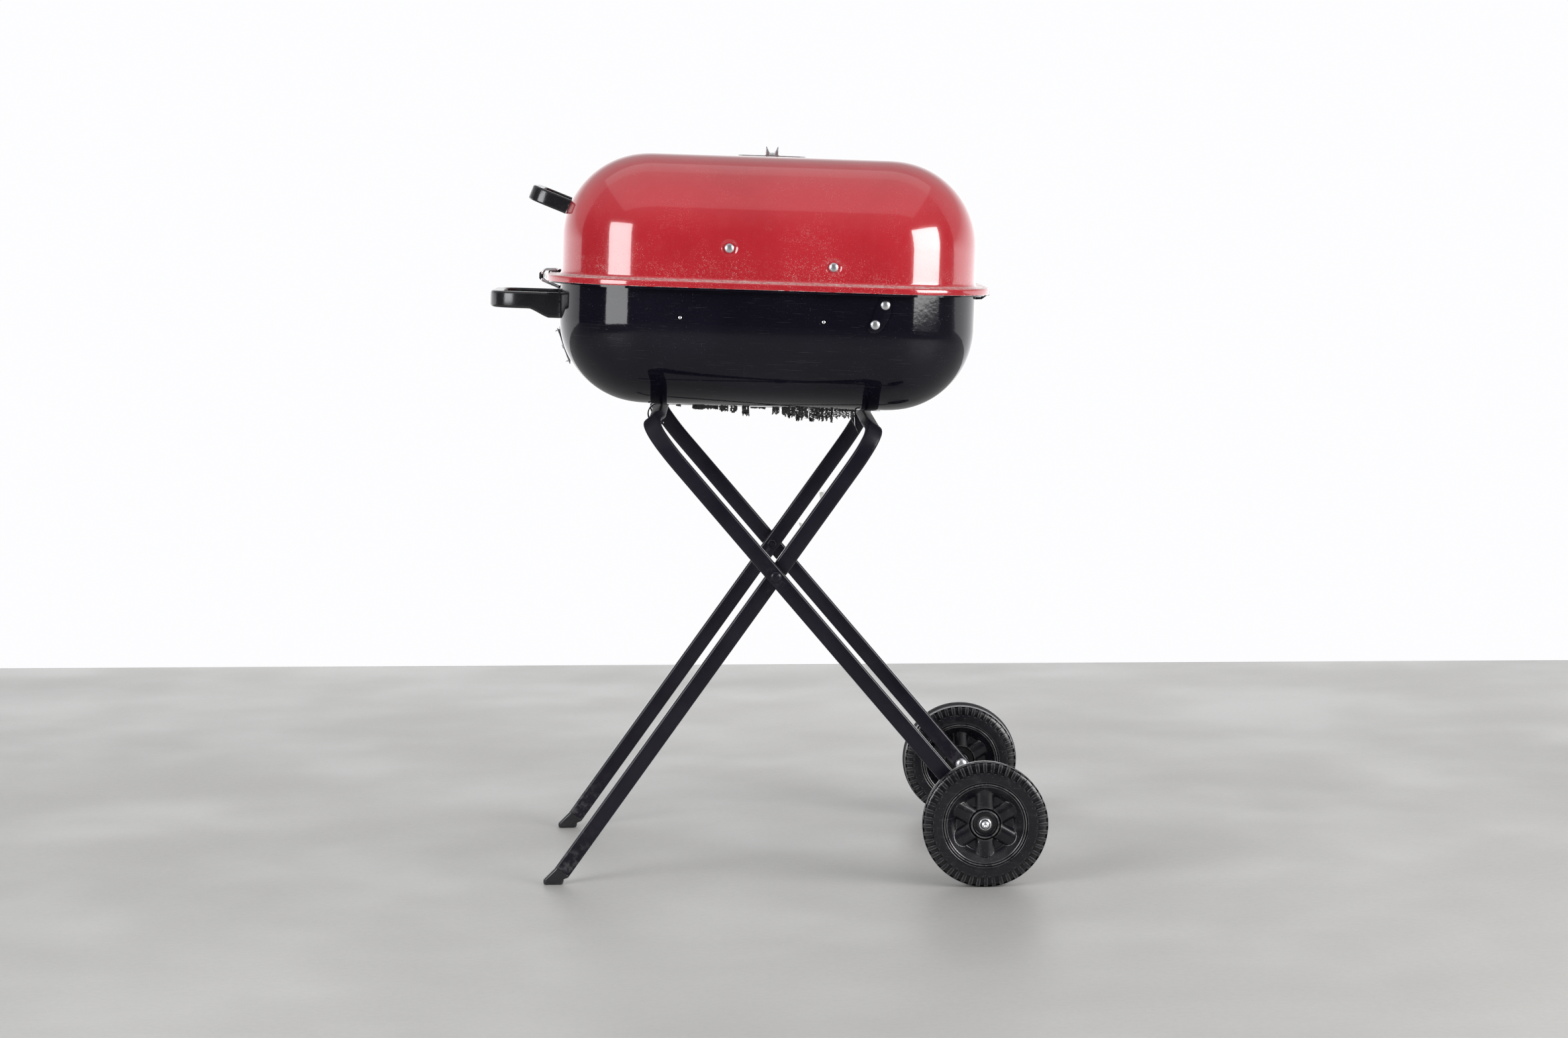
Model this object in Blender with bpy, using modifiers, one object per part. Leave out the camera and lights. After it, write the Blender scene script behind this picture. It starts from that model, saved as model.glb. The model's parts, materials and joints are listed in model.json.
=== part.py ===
"""Barrel charcoal grill on a folding, wheeled X stand.

Metres, +Z up. X runs from the front (-, handles and latch) to the rear (+, hinge
and wheels), Y from the near side (-) to the far side (+). The origin is on the
ground, under the middle of the overall box.

Hood, bowl and all they carry are built in the frame of the cooking body, whose
origin is the middle of the hood's lower edge. The stand is built in the world frame.
"""

import math

import bmesh
import bpy
from mathutils import Matrix, Vector

# --------------------------------------------------------- shared dimensions
TILT = math.radians(2.55)          # the cooking body leans down to the rear
BODY_X, BODY_Z = 0.0083, 0.7208    # origin of the cooking body

SHELL_X = 0.2554                   # half length of hood and bowl walls
SHELL_Y = 0.2000                   # half depth of hood and bowl walls
SHEET = 0.0015                     # pressed steel sheet
HOOD_H, HOOD_R, HOOD_PLAN_R = 0.1605, 0.107, 0.115   # height, edge and plan radii
BOWL_H, BOWL_R, BOWL_PLAN_R = 0.1470, 0.103, 0.112
LIP_OUT, LIP_H = 0.0177, 0.0086    # hood flange: overhang and height
RIM_OUT, RIM_TOP, RIM_DROP = 0.0130, 0.0051, 0.0080  # bowl flange

HINGE_X, HINGE_Z, HINGE_Y = 0.2695, 0.0020, 0.090    # hinge axis, each hinge's offset
HOOD_ORIGIN = (HINGE_X, 0, HINGE_Z)                  # the hood turns about its hinge
GAP = 0.0003                       # clearance between touching pieces

SIDES = (("near", -1), ("far", 1))
ACROSS = Vector((0, 1, 0))
UPWARD = Vector((0, 0, 1))

# --------------------------------------------------------------------- looks
RED = dict(colour=(0.46, 0.025, 0.03), roughness=0.22, coat=0.4)
BLACK = dict(colour=(0.010, 0.009, 0.012), roughness=0.14, coat=0.5)
FRAME = dict(colour=(0.012, 0.011, 0.016), roughness=0.28)
PLASTIC = dict(colour=(0.016, 0.016, 0.019), roughness=0.25)
TYRE = dict(colour=(0.021, 0.020, 0.024), roughness=0.5)
ZINC = dict(colour=(0.62, 0.63, 0.65), roughness=0.3, metallic=1.0)
PLATED = dict(colour=(0.5, 0.5, 0.5), roughness=0.35, metallic=1.0)


def material(name, colour, roughness, metallic=0.0, coat=0.0):
    made = bpy.data.materials.new(name)
    made.use_nodes = True
    shader = made.node_tree.nodes["Principled BSDF"]
    shader.inputs["Base Color"].default_value = (*colour, 1)
    shader.inputs["Roughness"].default_value = roughness
    shader.inputs["Metallic"].default_value = metallic
    shader.inputs["Coat Weight"].default_value = coat
    made.diffuse_color = (*colour, 1)
    return made


# --------------------------------------------------------------------- scene
for old in list(bpy.data.objects):
    bpy.data.objects.remove(old, do_unlink=True)

grill = bpy.data.collections.new("barrel_charcoal_grill")
cutters = bpy.data.collections.new("cutters")
bpy.context.scene.collection.children.link(grill)
bpy.context.scene.collection.children.link(cutters)


def add_object(name, data, location, parent):
    made = bpy.data.objects.new(name, data)
    made.location = location
    made.parent = parent
    grill.objects.link(made)
    return made


def node(name, bm, look, parent=None, origin=(0, 0, 0), smooth=35, inside=None):
    """One piece, from a bmesh built about the parent's origin.

    inside, a point under the last face, turns an open surface to face away from it.
    """
    bmesh.ops.recalc_face_normals(bm, faces=bm.faces)
    bm.faces.ensure_lookup_table()
    if inside is not None:
        last = bm.faces[-1]
        if (last.calc_center_median() - Vector(inside)).dot(last.normal) < 0:
            bmesh.ops.reverse_faces(bm, faces=bm.faces)
    bmesh.ops.translate(bm, verts=bm.verts, vec=-Vector(origin))
    mesh = bpy.data.meshes.new(name)
    bm.to_mesh(mesh)
    bm.free()
    made = add_object(name, mesh, origin, parent)
    mesh.materials.append(material(name, **look))
    for face in mesh.polygons:
        face.use_smooth = True
    mesh.set_sharp_from_angle(angle=math.radians(smooth))
    return made


def cut(name, bm, targets, parent=None, operation="DIFFERENCE"):
    """Applies one hidden helper shape to every target with a boolean."""
    bmesh.ops.recalc_face_normals(bm, faces=bm.faces)
    mesh = bpy.data.meshes.new(name)
    bm.to_mesh(mesh)
    bm.free()
    cutter = bpy.data.objects.new(name, mesh)
    cutter.parent = parent
    cutter.hide_render = True
    cutter.display_type = "WIRE"
    cutters.objects.link(cutter)
    for target in targets:
        boolean = target.modifiers.new(name, "BOOLEAN")
        boolean.solver = "EXACT"
        boolean.operation = operation
        boolean.object = cutter


def solidify(obj, thickness):
    """Gives an open surface its thickness, inwards."""
    sheet = obj.modifiers.new("sheet", "SOLIDIFY")
    sheet.thickness = thickness
    sheet.offset = -1
    sheet.use_even_offset = True
    sheet.use_quality_normals = True


# -------------------------------------------------------------- shape helpers
def arc(centre_x, centre_z, radius, degrees):
    """(x, z) points on a circle, one for each angle."""
    return [
        (centre_x + radius * math.cos(math.radians(a)), centre_z + radius * math.sin(math.radians(a)))
        for a in degrees
    ]


def rounded_rect(half_x, half_y, radius, steps):
    """Points of a rounded rectangle, counter-clockwise from the +X side."""
    points = []
    for quarter, (sign_x, sign_y) in enumerate(((1, 1), (-1, 1), (-1, -1), (1, -1))):
        degrees = [90 * quarter + 90 * i / steps for i in range(steps + 1)]
        points += arc(sign_x * (half_x - radius), sign_y * (half_y - radius), radius, degrees)
    return points


def loft(rings, caps=(True, True), closed=False):
    """Joins rings of equal length with quads, and fills the first and last."""
    bm = bmesh.new()
    made = [[bm.verts.new(p) for p in ring] for ring in rings]
    pairs = list(zip(made, made[1:]))
    if closed:
        pairs.append((made[-1], made[0]))
    for low, high in pairs:
        for i in range(len(low)):
            j = (i + 1) % len(low)
            bm.faces.new((low[i], low[j], high[j], high[i]))
    if not closed:
        if caps[0]:
            bm.faces.new(list(reversed(made[0])))
        if caps[1]:
            bm.faces.new(made[-1])
    return bm


def section(centre, first, second, sizes, radius, steps=2):
    """A rounded rectangle about centre, sized along two axes."""
    outline = rounded_rect(sizes[0] / 2, sizes[1] / 2, radius, steps)
    return [centre + first * u + second * v for u, v in outline]


def direction_at(path, i):
    """The direction from the point before path[i] to the one after it."""
    return (path[min(i + 1, len(path) - 1)] - path[max(i - 1, 0)]).normalized()


def sweep_rings(path, sizes, wide, corner):
    """Sections along path. wide is their first axis, corner a share of the thinner size."""
    rings = []
    for i, point in enumerate(path):
        ahead = direction_at(path, i)
        first = (wide - wide.dot(ahead) * ahead).normalized()
        rings.append(section(point, first, ahead.cross(first), sizes, corner * min(sizes)))
    return rings


def revolve(profile, segments, centre, side):
    """A closed profile of (radius, offset) turned about Y, offset running to the given side."""
    rings = []
    for i in range(segments):
        angle = 2 * math.pi * i / segments
        rings.append([
            Vector((r * math.cos(angle), side * offset, r * math.sin(angle))) + Vector(centre)
            for r, offset in profile
        ])
    return loft(rings, closed=True)


def axis_frame(origin, direction):
    """A frame at origin whose Z runs along direction."""
    turn = Vector(direction).to_track_quat("Z", "Y").to_matrix().to_4x4()
    return Matrix.Translation(Vector(origin)) @ turn


def lathe(profile, segments, place):
    """A solid of revolution about place's Z from (radius, z) points, flat at both ends."""
    angles = [2 * math.pi * i / segments for i in range(segments)]
    return loft([
        [place @ Vector((r * math.cos(a), r * math.sin(a), z)) for a in angles]
        for r, z in profile
    ])


def cylinder(origin, direction, radius, length, segments, bm=None):
    """A cylinder that starts at origin, added to bm or alone."""
    bm = bmesh.new() if bm is None else bm
    place = axis_frame(origin, direction) @ Matrix.Translation((0, 0, length / 2))
    bmesh.ops.create_cone(
        bm, cap_ends=True, segments=segments, radius1=radius, radius2=radius,
        depth=length, matrix=place,
    )
    return bm


def box(low, high, bm=None):
    """A box between two corners, added to bm or alone."""
    bm = bmesh.new() if bm is None else bm
    low, high = Vector(low), Vector(high)
    place = Matrix.Translation((low + high) / 2) @ Matrix.Diagonal((*(high - low), 1))
    bmesh.ops.create_cube(bm, size=1, matrix=place)
    return bm


def extruded(outline, y0, y1):
    """An outline of (x, z) points given depth in Y."""
    return loft([[Vector((x, y, z)) for x, z in outline] for y in (y0, y1)])


def mirrored(points):
    """The points reflected across the middle plane, in reverse order."""
    return [Vector((x, -y, z)) for x, y, z in reversed(points)]


def rounded_path(points, radius, steps):
    """A polyline with each corner turned into a curve."""
    points = [Vector(p) for p in points]
    rounded = [points[0]]
    for before, corner, after in zip(points, points[1:], points[2:]):
        back, ahead = before - corner, after - corner
        half_angle = back.angle(ahead) / 2
        reach = min(radius / math.tan(half_angle), back.length / 2, ahead.length / 2)
        start = corner + back.normalized() * reach
        end = corner + ahead.normalized() * reach
        for i in range(steps + 1):
            t = i / steps
            rounded.append((1 - t) ** 2 * start + 2 * t * (1 - t) * corner + t ** 2 * end)
    return rounded + [points[-1]]


def add_spline(curve, points):
    spline = curve.splines.new("POLY")
    spline.points.add(len(points) - 1)
    for point, place in zip(spline.points, points):
        point.co = (*place, 1)
    return spline


def wire(name, path, radius, look, parent, origin=(0, 0, 0), bevel_steps=2):
    """A round wire along path."""
    curve = bpy.data.curves.new(name, "CURVE")
    curve.dimensions = "3D"
    add_spline(curve, [Vector(place) - Vector(origin) for place in path])
    curve.bevel_depth = radius
    curve.bevel_resolution = bevel_steps
    curve.use_fill_caps = True
    add_object(name, curve, origin, parent)
    curve.materials.append(material(name, **look))


# --------------------------------------------------------------- cooking body
body = add_object("cooking_body", None, (BODY_X, 0, BODY_Z), None)
body.rotation_euler = (0, TILT, 0)
add_object("hood_axis", None, HOOD_ORIGIN, body)

EDGE_STEPS, PLAN_STEPS = 6, 5      # segments of the shells' edge and plan corners


def pressed_rings(height, edge_r, plan_r, side, lip):
    """Rings of a pressed half shell, from its lip to the flat of its crown.

    lip holds (overhang, height) stations. side is 1 for the hood, -1 for the bowl.
    """
    stations = list(lip)
    for i in range(EDGE_STEPS + 1):
        a = math.radians(90 * i / EDGE_STEPS)
        stations.append((-edge_r * (1 - math.cos(a)), height - edge_r + edge_r * math.sin(a)))
    rings = []
    for out, z in stations:
        outline = rounded_rect(SHELL_X + out, SHELL_Y + out, plan_r + out, PLAN_STEPS)
        rings.append([Vector((x, y, side * z)) for x, y in outline])
    return rings


def make_hood():
    """Down-turned lip, flange, wall and crown."""
    lip = [
        (LIP_OUT, 0), (LIP_OUT, LIP_H - 0.002), (LIP_OUT - 0.002, LIP_H),
        (0.003, LIP_H), (0, LIP_H + 0.003),
    ]
    rings = pressed_rings(HOOD_H, HOOD_R, HOOD_PLAN_R, 1, lip)
    made = node("hood", loft(rings, (False, True)), RED, body, HOOD_ORIGIN, inside=(0, 0, 0.05))
    solidify(made, SHEET)
    return made


RIM_NARROWING = 0.0030             # taken off the rim's length at the rear
RIM_EDGE_LIFT = 0.0014             # rise of the rim's lower edge at both ends
RIM_NARROWING_SHARES = (1, 1, 1, 0.1)   # of the narrowing, for each ring of the rim
RIM_EASE_START, RIM_EASE_RUN = 0.16, 0.10


def rim_ease(x):
    """Rises smoothly from 0 to 1 towards the end of the rim."""
    t = min(max((x - RIM_EASE_START) / RIM_EASE_RUN, 0), 1)
    return t * t * (3 - 2 * t)


def make_bowl():
    """Down-turned rim, flange, wall and floor."""
    lip = [
        (RIM_OUT, RIM_DROP - RIM_TOP), (RIM_OUT, -RIM_TOP + 0.001), (RIM_OUT - 0.001, -RIM_TOP),
        (0.0015, -RIM_TOP), (0, -RIM_TOP + 0.0015),
    ]
    rings = pressed_rings(BOWL_H, BOWL_R, BOWL_PLAN_R, -1, lip)
    # narrower at the rear, where the hood's lip swings past it
    for ring, share in zip(rings, RIM_NARROWING_SHARES):
        for p in ring:
            p.x -= RIM_NARROWING * rim_ease(p.x) * share
    # shallower at both ends
    for p in rings[0]:
        p.z += RIM_EDGE_LIFT * rim_ease(abs(p.x))
    made = node("bowl", loft(rings, (False, True)), BLACK, body, inside=(0, 0, -0.05))
    solidify(made, SHEET)
    return made


hood = make_hood()
bowl = make_bowl()

# ----------------------------------------------------------------- hood hinge
LUG_EYE_R, LUG_T = 0.0028, 0.004
LUG_FACE_X = SHELL_X + 0.0076      # front face of the lug's upright part
STRAP_HALF_X = 0.0034
STRAP_OUT, STRAP_IN = 0.0040, 0.0024    # half widths of the channel, outside and inside
STRAP_TOP, STRAP_LOW, STRAP_T = HINGE_Z + 0.0043, HINGE_Z - 0.0032, 0.0012
HINGE_BORE_R, HINGE_BORE_L = 0.0017, 0.024
# (radius, along Y)
HINGE_PIN = [(0.0025, -0.0058), (0.0025, -0.0043), (0.0014, -0.0043), (0.0014, 0.0058)]


def make_hinge(where, y):
    """A lug on the bowl, a channel strap on the hood, and the pin through both."""
    outline = [(SHELL_X + GAP, -0.0066), (SHELL_X + 0.0085, -0.0060)]
    outline += arc(HINGE_X, HINGE_Z, LUG_EYE_R, range(-60, 121, 20))
    outline += [
        (HINGE_X - 0.0050, HINGE_Z + 0.0015), (LUG_FACE_X, HINGE_Z - 0.0020),
        (LUG_FACE_X, -0.0034), (SHELL_X + GAP, -0.0034),
    ]
    lug_bm = extruded(outline, y - LUG_T / 2, y + LUG_T / 2)
    lug = node(f"hinge_lug_{where}", lug_bm, FRAME, body)

    channel = [
        (y - STRAP_OUT, STRAP_TOP), (y - STRAP_OUT, STRAP_LOW),
        (y - STRAP_IN, STRAP_LOW), (y - STRAP_IN, STRAP_TOP - STRAP_T),
        (y + STRAP_IN, STRAP_TOP - STRAP_T), (y + STRAP_IN, STRAP_LOW),
        (y + STRAP_OUT, STRAP_LOW), (y + STRAP_OUT, STRAP_TOP),
    ]
    ends = (HINGE_X - STRAP_HALF_X, HINGE_X + STRAP_HALF_X)
    strap_bm = loft([[Vector((x, across, z)) for across, z in channel] for x in ends])
    strap = node(f"hinge_strap_{where}", strap_bm, RED, body, HOOD_ORIGIN)

    start = (HINGE_X, y - HINGE_BORE_L / 2, HINGE_Z)
    bore = cylinder(start, ACROSS, HINGE_BORE_R, HINGE_BORE_L, 16)
    cut(f"hinge_bore_{where}", bore, [lug, strap], body)
    pin = lathe(HINGE_PIN, 16, axis_frame((HINGE_X, y, HINGE_Z), ACROSS))
    node(f"hinge_pin_{where}", pin, ZINC, body)

    # room for the hinge in the hood's lip and the bowl's rim
    notch = box(
        (HINGE_X - 0.0005, y - 0.0105, -0.002),
        (HINGE_X + 0.008, y + 0.0105, HINGE_Z + 0.0045),
    )
    cut(f"hinge_notch_{where}", notch, [hood], body)
    notch = box(
        (SHELL_X + 0.0055, y - 0.0085, -0.006),
        (SHELL_X + 0.020, y + 0.0085, 0.0065),
    )
    cut(f"rim_notch_{where}", notch, [bowl], body)


for where, side in SIDES:
    make_hinge(where, side * HINGE_Y)

# ------------------------------------------------------- brackets and rivets
# (radius, distance outwards from the tail)
RIVET = [
    (0.0042, 0.0), (0.0042, 0.0008), (0.0024, 0.0008), (0.0024, 0.0064),
    (0.0056, 0.0064), (0.0058, 0.0072), (0.0050, 0.0085), (0.0030, 0.0094),
]
RIVET_HOLE_R, RIVET_HOLE_L, RIVET_HOLE_INSET = 0.0028, 0.05, 0.02
# rivet places: label, x, z
HOOD_RIVETS = [("front", -0.0492, 0.0487), ("rear", 0.0768, 0.0297)]
BOWL_RIVETS = [("upper", 0.1405, -0.0135), ("lower", 0.1290, -0.0375)]
HOOD_RIVET_TAIL_Y, BOWL_RIVET_TAIL_Y = SHELL_Y - 0.0052, SHELL_Y - 0.0041

# centreline of the hood bracket, (x, z)
HOOD_BRACKET = [HOOD_RIVETS[0][1:], (0.014, 0.0392), HOOD_RIVETS[1][1:], (0.105, 0.0180)]
HOOD_BRACKET_W, HOOD_BRACKET_T = 0.015, 0.0018
HOOD_BRACKET_Y = SHELL_Y - SHEET - GAP       # its outer face, inside the wall
STRIP_END_SHARE = 0.55                       # width of a strip's ends, of its full width

# outline of the bowl bracket, (x, z)
BOWL_BRACKET = [
    (0.1340, -0.0060), (0.1250, -0.0330), (0.1200, -0.0420), (0.1225, -0.0470),
    (0.1310, -0.0480), (0.1370, -0.0440), (0.1440, -0.0330), (0.1475, -0.0240),
    (0.1470, -0.0075), (0.1440, -0.0045), (0.1370, -0.0040),
]
BOWL_BRACKET_T = 0.0015
BOWL_BRACKET_Y = SHELL_Y + GAP + 0.0001      # its inner face, outside the wall


def strip_outline(points, width):
    """Outline of a flat strip along a centreline, its ends extended and narrowed."""
    points = [Vector(p) for p in points]
    end_signs = [-1] + [0] * (len(points) - 2) + [1]
    left, right = [], []
    for i, (p, end_sign) in enumerate(zip(points, end_signs)):
        ahead = direction_at(points, i)
        share = STRIP_END_SHARE if end_sign else 1
        offset = Vector((-ahead.y, ahead.x)) * width / 2 * share
        extension = ahead * end_sign * width / 2
        left.append(p + offset + extension)
        right.append(p - offset + extension)
    return [(p.x, p.y) for p in left + right[::-1]]


def rivet_bracket(kind, where, side, shell, bracket, places, face_y, tail_y, origin):
    """Drills a bracket and its shell together and sets domed rivets in the holes."""
    outward = (0, side, 0)
    for label, x, z in places:
        start = (x, side * (face_y - RIVET_HOLE_INSET), z)
        hole = cylinder(start, outward, RIVET_HOLE_R, RIVET_HOLE_L, 10)
        cut(f"{kind}_rivet_hole_{where}_{label}", hole, [shell, bracket], body)
        rivet = lathe(RIVET, 10, axis_frame((x, side * tail_y, z), outward))
        node(f"{kind}_rivet_{where}_{label}", rivet, ZINC, body, origin)


def make_hood_bracket(where, side):
    outline = strip_outline(HOOD_BRACKET, HOOD_BRACKET_W)
    inner_y = HOOD_BRACKET_Y - HOOD_BRACKET_T
    bm = extruded(outline, side * inner_y, side * HOOD_BRACKET_Y)
    bracket = node(f"hood_bracket_{where}", bm, PLATED, body, HOOD_ORIGIN)
    rivet_bracket("hood", where, side, hood, bracket, HOOD_RIVETS,
                  HOOD_BRACKET_Y, HOOD_RIVET_TAIL_Y, HOOD_ORIGIN)


def make_bowl_bracket(where, side):
    outer_y = BOWL_BRACKET_Y + BOWL_BRACKET_T
    bm = extruded(BOWL_BRACKET, side * BOWL_BRACKET_Y, side * outer_y)
    bracket = node(f"bowl_bracket_{where}", bm, BLACK, body)
    rivet_bracket("bowl", where, side, bowl, bracket, BOWL_RIVETS,
                  BOWL_BRACKET_Y, BOWL_RIVET_TAIL_Y, (0, 0, 0))


for where, side in SIDES:
    make_hood_bracket(where, side)
    make_bowl_bracket(where, side)

# -------------------------------------------------------------------- handles
# the hood handle stands square to the hood's rounded front edge
HOOD_HANDLE_ANGLE = math.radians(20.3)
HOOD_HANDLE_OUT = Vector((-math.cos(HOOD_HANDLE_ANGLE), 0, math.sin(HOOD_HANDLE_ANGLE)))
HOOD_HANDLE_UP = Vector((math.sin(HOOD_HANDLE_ANGLE), 0, math.cos(HOOD_HANDLE_ANGLE)))
HOOD_HANDLE_SEAT = (
    Vector((-(SHELL_X - HOOD_R), 0, HOOD_H - HOOD_R)) + HOOD_HANDLE_OUT * (HOOD_R + 0.0005)
)
HOOD_HANDLE_Y, HOOD_HANDLE_REACH, HOOD_HANDLE_BEND = 0.075, 0.0455, 0.022
HOOD_HANDLE_SIZES = (0.0185, 0.010)

# the bowl handle is level on top and grows deeper towards the bowl
BOWL_HANDLE_TOP, BOWL_HANDLE_LOW, BOWL_HANDLE_BASE_LOW = -0.0152, -0.0358, -0.0465
BOWL_HANDLE_Y, BOWL_HANDLE_TIP, BOWL_HANDLE_BEND = 0.077, -0.3440, 0.034
BOWL_HANDLE_T, BOWL_HANDLE_CORNER = 0.013, 0.0035
BOWL_HANDLE_BASE = -(SHELL_X + 0.0004)
DEEP_X, SLIM_X = -0.2700, -0.2935       # between these the depth changes
ARM_STATIONS = (BOWL_HANDLE_BASE, DEEP_X, -0.2815, -0.2930)

# (radius, distance outwards from the head)
SCREW = [(0.0045, 0.0), (0.0045, 0.0020), (0.0022, 0.0020), (0.0022, 0.0150)]
SCREW_BORE_R, SCREW_BORE_L, SCREW_BORE_LEAD = 0.0026, 0.024, 0.004


def make_hood_handle():
    reach = HOOD_HANDLE_OUT * HOOD_HANDLE_REACH
    near = HOOD_HANDLE_SEAT - ACROSS * HOOD_HANDLE_Y
    far = HOOD_HANDLE_SEAT + ACROSS * HOOD_HANDLE_Y
    path = rounded_path([near, near + reach, far + reach, far], HOOD_HANDLE_BEND, 6)
    rings = sweep_rings(path, HOOD_HANDLE_SIZES, HOOD_HANDLE_UP, 0.25)
    return node("hood_handle", loft(rings), PLASTIC, body, HOOD_ORIGIN)


def make_bowl_handle():
    grip_x = BOWL_HANDLE_TIP + BOWL_HANDLE_T / 2
    half = [(BOWL_HANDLE_BASE, -BOWL_HANDLE_Y, 0), (grip_x, -BOWL_HANDLE_Y, 0)]
    bend = rounded_path(half + mirrored(half), BOWL_HANDLE_BEND, 7)
    arm = [Vector((x, -BOWL_HANDLE_Y, 0)) for x in ARM_STATIONS]
    path = arm + bend[1:-1] + mirrored(arm)
    rings = []
    for i, p in enumerate(path):
        deepening = min(max((p.x - SLIM_X) / (DEEP_X - SLIM_X), 0), 1)
        low = BOWL_HANDLE_LOW + (BOWL_HANDLE_BASE_LOW - BOWL_HANDLE_LOW) * deepening
        centre = Vector((p.x, p.y, (BOWL_HANDLE_TOP + low) / 2))
        ahead = direction_at(path, i)
        sideways = Vector((-ahead.y, ahead.x, 0))
        sizes = (BOWL_HANDLE_TOP - low, BOWL_HANDLE_T)
        rings.append(section(centre, UPWARD, sideways, sizes, BOWL_HANDLE_CORNER))
    return node("bowl_handle", loft(rings), PLASTIC, body)


def handle_screw(kind, where, start, outward, shell, handle, origin):
    """A screw from inside the shell into the handle, and its bore."""
    bore_start = start - outward * SCREW_BORE_LEAD
    bore = cylinder(bore_start, outward, SCREW_BORE_R, SCREW_BORE_L, 14)
    cut(f"{kind}_handle_bore_{where}", bore, [shell, handle], body)
    screw = lathe(SCREW, 12, axis_frame(start, outward))
    node(f"{kind}_handle_screw_{where}", screw, ZINC, body, origin)


hood_handle = make_hood_handle()
bowl_handle = make_bowl_handle()
for where, side in SIDES:
    start = HOOD_HANDLE_SEAT + ACROSS * side * HOOD_HANDLE_Y - HOOD_HANDLE_OUT * 0.0060
    handle_screw("hood", where, start, HOOD_HANDLE_OUT, hood, hood_handle, HOOD_ORIGIN)
    start = Vector((-(SHELL_X - 0.0040), side * BOWL_HANDLE_Y, -0.0290))
    handle_screw("bowl", where, start, Vector((-1, 0, 0)), bowl, bowl_handle, (0, 0, 0))

# -------------------------------------------------------------------- dampers
DAMPER_L, DAMPER_W, DAMPER_T = 0.084, 0.047, 0.0012
DAMPER_LIFT = 0.0005               # gap under the plate
DAMPER_END_R, DAMPER_END_ANGLE = 0.026, 40   # rounded ends: radius, half angle in degrees
DAMPER_WAIST_X, DAMPER_WAIST_Y = 0.014, 0.0210
EAR_Y = (0.0196, 0.0208)           # faces of a turned-up ear
EAR_SHOULDER = 0.47                # height of the ear's shoulders, of its tips
VENT_RING_R = 0.0155               # circle the vents and slots lie on
FRONT_DAMPER_STAND = 0.0025        # the front damper's distance from the bowl
FRONT_DAMPER_SLOPE = math.radians(21.3)


def ring_of_holes(place, first_degrees, start_z, radius, length):
    """Four cylinders square to the plate, evenly round the rivet."""
    holes = bmesh.new()
    for i in range(4):
        a = math.radians(first_degrees + 90 * i)
        start = place @ Vector((VENT_RING_R * math.cos(a), VENT_RING_R * math.sin(a), start_z))
        cylinder(start, place.to_3x3() @ UPWARD, radius, length, 12, holes)
    return holes


def make_damper(name, place, shell, ear_tip, sink=0.0):
    """A butterfly vent plate with two turned-up ears, its rivet and the vents under it.

    place is the plate's own frame, Z out of the shell and X along the plate.
    sink is how much deeper the rivet's tail lies.
    """
    outline = []
    for sign in (1, -1):
        for i in range(5):
            a = math.radians(-DAMPER_END_ANGLE + DAMPER_END_ANGLE / 2 * i)
            x = DAMPER_L / 2 - DAMPER_END_R + DAMPER_END_R * math.cos(a)
            y = DAMPER_W / 2 * math.sin(a) / math.sin(math.radians(DAMPER_END_ANGLE))
            outline.append((sign * x, sign * y))
        outline.append((sign * DAMPER_WAIST_X, sign * DAMPER_WAIST_Y))
        outline.append((-sign * DAMPER_WAIST_X, sign * DAMPER_WAIST_Y))
    top = DAMPER_LIFT + DAMPER_T
    origin = place.to_translation()
    plate_bm = loft([[place @ Vector((x, y, z)) for x, y in outline] for z in (DAMPER_LIFT, top)])
    plate = node(name, plate_bm, PLATED, body, origin)

    # each ear has two points with a dip between them
    base, shoulder = DAMPER_LIFT + 0.0002, ear_tip * EAR_SHOULDER
    ear = [
        (-0.0085, base), (0.0085, base), (0.0075, shoulder), (0.0058, ear_tip),
        (0.0030, shoulder), (-0.0030, shoulder), (-0.0058, ear_tip), (-0.0075, shoulder),
    ]
    for i, sign in enumerate((-1, 1)):
        ear_bm = loft([[place @ Vector((x, sign * y, z)) for x, z in ear] for y in EAR_Y])
        cut(f"{name}_ear_{i}", ear_bm, [plate], body, "UNION")

    vents = ring_of_holes(place, 45, start_z=-0.015, radius=0.0048, length=0.0152)
    cut(f"{name}_vents", vents, [shell], body)
    slots = ring_of_holes(place, 0, start_z=-0.004, radius=0.0045, length=0.010)
    cut(f"{name}_slots", slots, [plate], body)
    outward = place.to_3x3() @ UPWARD
    bore = cylinder(place @ Vector((0, 0, -0.02)), outward, 0.0027, 0.04, 14)
    cut(f"{name}_bore", bore, [shell, plate], body)

    profile = [
        (0.0045, -0.0048 - sink), (0.0045, -0.0036 - sink), (0.0024, -0.0036 - sink),
        (0.0024, top + GAP), (0.0060, top + GAP), (0.0060, 0.0032),
        (0.0048, 0.0046), (0.0024, 0.0054),
    ]
    node(f"{name}_rivet", lathe(profile, 14, place), ZINC, body, origin)


def front_damper_place():
    """The frame of the damper on the bowl's rounded lower front edge."""
    outward = Vector((-math.cos(FRONT_DAMPER_SLOPE), 0, -math.sin(FRONT_DAMPER_SLOPE)))
    edge_centre = Vector((-(SHELL_X - BOWL_R), 0, -(BOWL_H - BOWL_R)))
    centre = edge_centre + outward * (BOWL_R + 0.0002 + FRONT_DAMPER_STAND)
    turn = Matrix((ACROSS, outward.cross(ACROSS), outward)).transposed().to_4x4()
    return Matrix.Translation(centre) @ turn


make_damper("top_damper", Matrix.Translation((0.0006, 0, HOOD_H)), hood, ear_tip=0.0128)
make_damper("front_damper", front_damper_place(), bowl, ear_tip=0.0068, sink=FRONT_DAMPER_STAND)

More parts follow.
